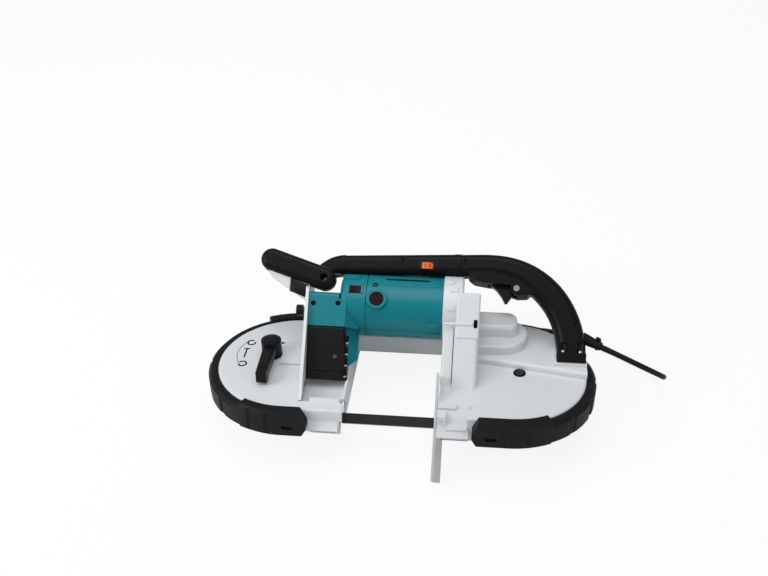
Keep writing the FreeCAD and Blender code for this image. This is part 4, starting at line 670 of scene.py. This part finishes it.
# Dark red cup: its darkness is painted shade of the hollow, its red the inside's own colour.
brush_hollow_shade = new_cup("brush_hollow_shade", radius=8.6, height=0.9, wall=1.0)
settle(brush_hollow_shade, place_on(cut_frame, (brush_x, motor_axis[0], 62.4)), rocker_plastic)
print("rocker and brush framed")

# %% [markdown]
# ## The lamp cover's louvres
# Heat leaves the lamp through four slits along the cover's right edge. Each slit is a dark bar that paints
# the shade inside it, with a small fin under it whose light grey is a painted highlight on the black cover,
# and a long ridge stiffens the cover's lower edge.

# %% Lamp louvres
louvre_x = -71.0
louvre_heights = (63.0, 48.0, 33.0, 18.5)
fin_shift = (0.6, -5.4)
slit_places = [place_on(cut_frame, (louvre_x, s, lamp_front)) for s in louvre_heights]
# Dark bars that paint the shade inside the slits.
slit = new_pad("lamp_slit_shade", length=4.4, width=8.5, height=0.4, corner=1.2, rim=0.1)
settle_copies(slit, slit_places, shadow_gap)
fin_places = [place_on(cut_frame, (louvre_x + fin_shift[0], s + fin_shift[1], lamp_front))
              for s in louvre_heights]
# The fin's light grey is a painted highlight, not the black cover's colour.
fin = new_pad("lamp_fin_highlight", length=3.6, width=2.2, height=1.3, corner=0.9, rim=0.5)
settle_copies(fin, fin_places, button_grey_and_fin_highlight)
cover_ridge = new_pad("lamp_cover_ridge", length=44.0, width=1.6, height=0.8, corner=0.7, rim=0.35)
settle(cover_ridge, place_on(cut_frame, (-97.0, 21.5, lamp_front)), black_plastic)

# %% [markdown]
# ## Trim and painted shade of the gear case
# The gear case is two castings that meet beside the column, where the front steps back. A thin dark line
# paints the shadow of that step, a ledge runs across its top, and a dark pad beside it paints the shade
# inside an oval slot. They are plain long boxes with rounded edges, laid on the painted faces.

# %% Gear case trim
strip_front = 60.0
head_front = 66.0
ledge_sink = 0.4
flange_radius = 44.0
# Thin dark box that paints the shadow of the step beside the column.
case_step_shadow = new_box("case_step_shadow", (0.9, 74.0, 0.6))
settle(case_step_shadow, place_on(cut_frame, (68.2, 49.0, strip_front)), shadow_gap)
ledge = new_pad("case_ledge", length=38.0, width=3.4, height=2.0, corner=1.2, rim=0.7)
settle(ledge, place_on(cut_frame, (72.6, 89.6, head_front - ledge_sink)), cast_paint)
# Dark pad that paints the shade inside the oval slot.
case_slot_shade = new_pad("case_slot_shade", length=5.0, width=11.5, height=0.5, corner=2.4, rim=0.1)
settle(case_slot_shade, place_on(cut_frame, (95.8, 90.6, head_front)), shadow_gap)
for number, (x, start) in enumerate(((66.0, 61.0), (60.0, 45.0), (62.0, 95.0))):
    motor_plate("flange_pad_" + str(number + 1), x, start, cast_paint, "frame_paint", width=11.0,
                inner=flange_radius - 1, outer=flange_radius + 1.4, sweep=10.0, steps=5, rim=0.6)
print("gear case trimmed")

# %% [markdown]
# ## The axle cap
# The drive wheel's axle ends in a dark sunk cap with a screw in it. The cap is a low cup, and the screw
# has a six-sided socket, carved with a six-sided drum. Both turn with the wheel.

# %% Axle cap
wheel_centre = 156.9
face_height = 48.0
axle_screw_height = 1.4
axle_screw_lift = 0.9
axle_cup = new_cup("axle_cup", radius=8.2, height=1.2, wall=0.9)
settle(axle_cup, place_on(saw_frame, (wheel_centre, 0, face_height)), shadow_gap, "drive_wheel")
axle_screw = new_drum("axle_screw", radius=5.6, height=axle_screw_height, sides=cup_sides)
round_edges(axle_screw, 0.4, rim_steps, at_height(axle_screw_height / 2))
socket = new_drum("axle_socket", radius=2.9, height=1.6, sides=6)
socket.location.z = 0.9
bpy.context.view_layer.update()
carve(axle_screw, socket)
screw_place = place_on(saw_frame, (wheel_centre, 0, face_height + axle_screw_lift))
settle(axle_screw, screw_place, dark_screw, "drive_wheel")
print("axle cap set")

# %% [markdown]
# ## The handle's joints
# The long bar is clamped between two elbows, and each joint shows as a slightly larger sleeve. A sleeve is
# a box that is rounded along the bar and pinched at its rims.

# %% Handle sleeves
sleeve_steps = 6
sleeve_rim = 0.6
sleeve_sharp = radians(60)


def new_sleeve(name, length, thick, wide, corner):
    """Sleeve along X with round edges along the bar and soft rims."""
    sleeve = new_box(name, (length, thick, wide))
    round_edges(sleeve, corner, sleeve_steps, lambda one, two: (one - two).yz.length < touch)
    bpy.ops.object.mode_set(mode="EDIT")
    bpy.ops.mesh.select_mode(type="EDGE")
    bpy.ops.mesh.select_all(action="DESELECT")
    bpy.ops.mesh.edges_select_sharp(sharpness=sleeve_sharp)
    bpy.ops.mesh.bevel(offset=sleeve_rim, segments=rim_steps, affect="EDGES")
    bpy.ops.object.mode_set(mode="OBJECT")
    return sleeve


bar_axis = 20.0
front_sleeve = new_sleeve("front_sleeve", length=9.0, thick=27.4, wide=31.0, corner=8.4)
front_place = place_on(cut_frame, (-88.0, 171.2, bar_axis), along=(1, 0.14, 0))
settle(front_sleeve, front_place, grip_plastic)
rear_sleeve = new_sleeve("rear_sleeve", length=9.5, thick=29.8, wide=32.2, corner=9.0)
rear_place = place_on(cut_frame, (68.6, 178.2, bar_axis), along=(1, 0.03, 0))
settle(rear_sleeve, rear_place, grip_plastic)
print("sleeves set")

# %% [markdown]
# ## The speed dial
# The dial turns behind a window in the bar, and the number in the window is the chosen speed. The window is a
# pad with an opening carved through it. The numbers are text turned into meshes, set around the dial, and
# they turn with it.

# %% Speed dial window and numbers
dial_x = 27.0
dial_axis = (173.6, 22.0)
dial_radius = 15.0
dial_front = 35.3
window_sink = 0.4
number_size = 5.0
number_relief = 0.12
number_count = 6
number_step = 24.0
dial_window = new_pad("dial_window", length=22.0, width=11.6, height=1.0, corner=2.0, rim=0.4)
opening = new_box("dial_opening", (17.6, 8.4, 6.0))
carve(dial_window, opening)
window_place = place_on(cut_frame, (dial_x, dial_axis[0], dial_front - window_sink), (0, 0.03, 1))
settle(dial_window, window_place, black_plastic)


def new_number(name, words):
    """Raised number that lies flat, its face up."""
    bpy.ops.object.select_all(action="DESELECT")
    bpy.ops.object.text_add()
    number = bpy.context.object
    number.data.body = words
    number.data.size = number_size
    number.data.align_x = "CENTER"
    number.data.align_y = "CENTER"
    number.data.extrude = number_relief
    bpy.ops.object.convert(target="MESH")
    return named(name)


for count in range(number_count):
    angle = radians(number_step * (count - (number_count - 1) / 2))
    point = (dial_x + dial_radius * sin(angle), dial_axis[0], dial_axis[1] + dial_radius * cos(angle))
    digit = new_number("dial_number_" + str(count + 1), str(count + 1))
    place = place_on(cut_frame, point, (sin(angle), 0, cos(angle)), (cos(angle), 0, -sin(angle)))
    settle(digit, place, shadow_gap, "speed_dial")
print("dial numbered")

# %% [markdown]
# ## The foot of the handle
# Two screws hold the handle's foot to the frame. They stand in hollows of the foot, so a driver can reach
# them from above.

# %% Foot screws
foot_screw_places = [place_on(cut_frame, (x, 64.5, 36.4), (0, 1, 0)) for x in (212.5, 235.0)]
settle_copies(new_screw("foot_screw", radius=2.6, height=2.4), foot_screw_places, screw_steel)

# %% [markdown]
# ## Marks for the blade tension
# The frame's face shows which way the lever turns: an arc with a ring at each end and a bar between them.
# They are flat plates as thick as paint, spun around the lever's axle in the same way as the motor's plates.

# %% Tension marks
lever_axis = (-176.0, 13.0)
mark_height = 0.24
mark_middle = face_height + mark_height / 2
arc_step = 8
least_steps = 4


def flat_arc(name, centre, inner, outer, start, sweep):
    """Painted arc on the frame's face around a centre, from a start angle."""
    steps = max(int(sweep / arc_step), least_steps)
    arc = new_arc(name, mark_height, inner, outer, sweep, steps)
    out = (-sin(radians(start)), cos(radians(start)), 0)
    place = place_on(saw_frame, (*centre, mark_middle), out, (0, 0, 1))
    return settle(arc, place, shadow_gap)


flat_arc("mark_arc", lever_axis, inner=47.5, outer=48.1, start=143.0, sweep=74.0)
for number, (centre, start) in enumerate((((-210.0, 38.0), 60.0), ((-212.0, -11.0), 200.0))):
    flat_arc("mark_ring_" + str(number + 1), centre, inner=4.0, outer=6.2, start=start, sweep=315.0)
mark_bars = (("mark_bar", (-213.0, 13.0), 2.0, 20.0), ("mark_bar_head", (-213.0, 23.4), 8.0, 2.0))
for name, centre, width, length in mark_bars:
    bar = new_box(name, (width, length, mark_height))
    settle(bar, place_on(saw_frame, (*centre, mark_middle)), shadow_gap)
# The dark dot paints the shade of a small screw hole on the face's raised pad, and the thin dark line paints
# the shade along that pad's edge.
pad_hole_shade = new_drum("pad_hole_shade", radius=2.0, height=0.6, sides=24)
settle(pad_hole_shade, place_on(saw_frame, (-166.9, 40.9, face_height + 0.2)), shadow_gap)
pad_edge_shade = new_box("pad_edge_shade", (30.0, 0.5, mark_height))
settle(pad_edge_shade, place_on(saw_frame, (-150.0, 40.6, face_height + 0.25)), shadow_gap)
print("tension marks painted")

# %% [markdown]
# ## The lever's cap
# The tension lever has a crowned cap over its axle and a ridge along its arm for the thumb. Both turn with
# the lever.

# %% Lever cap and ridge
lever_body = "tension_lever"
lever_cap_height = 1.6
lever_cap = new_drum("lever_cap", radius=11.0, height=lever_cap_height, sides=48)
round_edges(lever_cap, 1.0, 3, at_height(lever_cap_height / 2))
cap_place = place_on(saw_frame, (*lever_axis, 72.6))
settle(lever_cap, cap_place, black_plastic, lever_body)
ridge = new_pad("lever_ridge", length=9.0, width=40.0, height=1.4, corner=1.5, rim=0.6)
ridge_place = place_on(saw_frame, (lever_axis[0], -24.0, 68.4))
settle(ridge, ridge_place, black_plastic, lever_body)
print("lever trimmed")

# %% [markdown]
# ## Small hardware
# A clamp knob sits on the grip bracket's left face, a small cleat on the cord guard holds the lead's tie,
# and a black boot covers the bracket's arm where it meets the grip. The boot starts as a box, and its two
# ends are slid up and down, which gives the slanted outline without a drawing of its own.

# %% Knob, cleat and boot
knob_height = 9.0
knob_axis = (45.0, 101.0)
knob = new_drum("bracket_knob", radius=7.5, height=knob_height, sides=12)
round_edges(knob, 1.2, rim_steps, at_height(knob_height / 2))
knob_place = place_on(saw_frame, (-140.5, *knob_axis), (-1, 0, 0), (0, 1, 0))
settle(knob, knob_place, black_plastic)
knob_stem = new_drum("bracket_knob_stem", radius=4.0, height=6.0, sides=24)
stem_place = place_on(saw_frame, (-135.0, *knob_axis), (-1, 0, 0), (0, 1, 0))
settle(knob_stem, stem_place, dark_screw)
cleat = new_pad("cord_cleat", length=6.5, width=6.5, height=4.0, corner=1.0, rim=0.4)
carve(cleat, new_box("cleat_hole", (3.4, 3.4, 12.0)))
settle(cleat, place_on(cut_frame, (258.6, 85.0, 23.4), (0.4, 0.8, 0.45)), black_plastic)
boot_size = (24.0, 18.0, 3.0)
boot_place = place_on(cut_frame, (-139.8, 128.6, 56.8))
boot = new_box("grip_boot", boot_size)
pick_faces(boot, lambda centre, normal: normal.x < -0.5)
bpy.ops.transform.translate(value=(-1.5, 5.5, 0))
pick_faces(boot, lambda centre, normal: normal.x > 0.5)
bpy.ops.transform.translate(value=(0, -3.5, 0))
bpy.ops.object.mode_set(mode="OBJECT")
round_edges(boot, 0.9, rim_steps, at_height(boot_size[2] / 2))
settle(boot, boot_place, black_plastic)
print("hardware set")

# %% [markdown]
# ## The mains lead
# The lead leaves the handle's foot through its guard, falls to the floor in one easy bend and runs behind
# the saw, where the spare length is wound up and tied. One smooth spline follows the same route as the
# solid tube, so it bends like rubber and not like wire.

# %% Mains lead
cord_diameter = 7.5 * mm
guard_end = cut_point(264.0, 77.2, 20.0)
guard_start = cut_point(238.0, 88.5, 20.0)
cord_way = (guard_end - guard_start).normalized()
cord_straight = 30.0 * mm
cord_route = ((350.0, 18.5, 49.0), (355.0, 56.1, 8.0), (270.0, 110.8, 3.8), (200.0, 138.0, 3.8))
cord_last_run = 90.0 * mm
coil_centre = Vector((2.0, 188.0, 4.8)) * mm
coil_inner = 31.0 * mm
coil_pitch = 8.1 * mm
coil_turns = 3.25
coil_tail = 37.0 * mm
coil_points_per_turn = 16
small_turn = 0.001


def coil_place(turn):
    """Middle line of the coil after a number of turns: inwards below, then outwards on top."""
    radius = coil_inner + coil_pitch * abs(turn - coil_turns - 1 / 4)
    share = min(max((turn - coil_turns) * 2, 0), 1)
    angle = -pi / 2 - 2 * pi * turn
    rise = coil_pitch * share * share * (3 - 2 * share)
    return coil_centre + Vector((radius * cos(angle), radius * sin(angle), rise))


def cord_points():
    """Control points of the lead, from the guard to the plug."""
    whole = 2 * coil_turns + 1 / 2
    step = 1 / coil_points_per_turn
    start_way = (coil_place(small_turn) - coil_place(-small_turn)).normalized()
    end_way = (coil_place(whole + small_turn) - coil_place(whole - small_turn)).normalized()
    joint = coil_place(0) - start_way * cord_diameter
    points = [guard_end, guard_end + cord_way * cord_straight]
    points += [Vector(point) * mm for point in cord_route]
    points += [joint - start_way * cord_last_run, joint]
    count = int(round(whole / step))
    spread = 1 / cos(pi * step)
    for index in range(count + 1):
        place = coil_place(index * step)
        flat = Vector((coil_centre.x, coil_centre.y, place.z))
        points.append(flat + (place - flat) * spread)
    points.append(coil_place(whole) + end_way * coil_tail)
    return points


curve = bpy.data.curves.new("mains_lead", "CURVE")
curve.dimensions = "3D"
spline = curve.splines.new("NURBS")
route = cord_points()
spline.points.add(len(route) - 1)
for point, place in zip(spline.points, route):
    point.co = (*place, 1)
spline.order_u = 3
spline.use_endpoint_u = True
spline.resolution_u = 6
curve.bevel_depth = cord_diameter / 2
curve.bevel_resolution = 4
curve.use_fill_caps = True
lead = bpy.data.objects.new("mains_lead", curve)
bpy.context.scene.collection.objects.link(lead)
lead.data.materials.append(cord_sheath)
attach(lead, "frame")
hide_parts("cord_lead", "cord_coil")
print("lead with", len(route), "points")
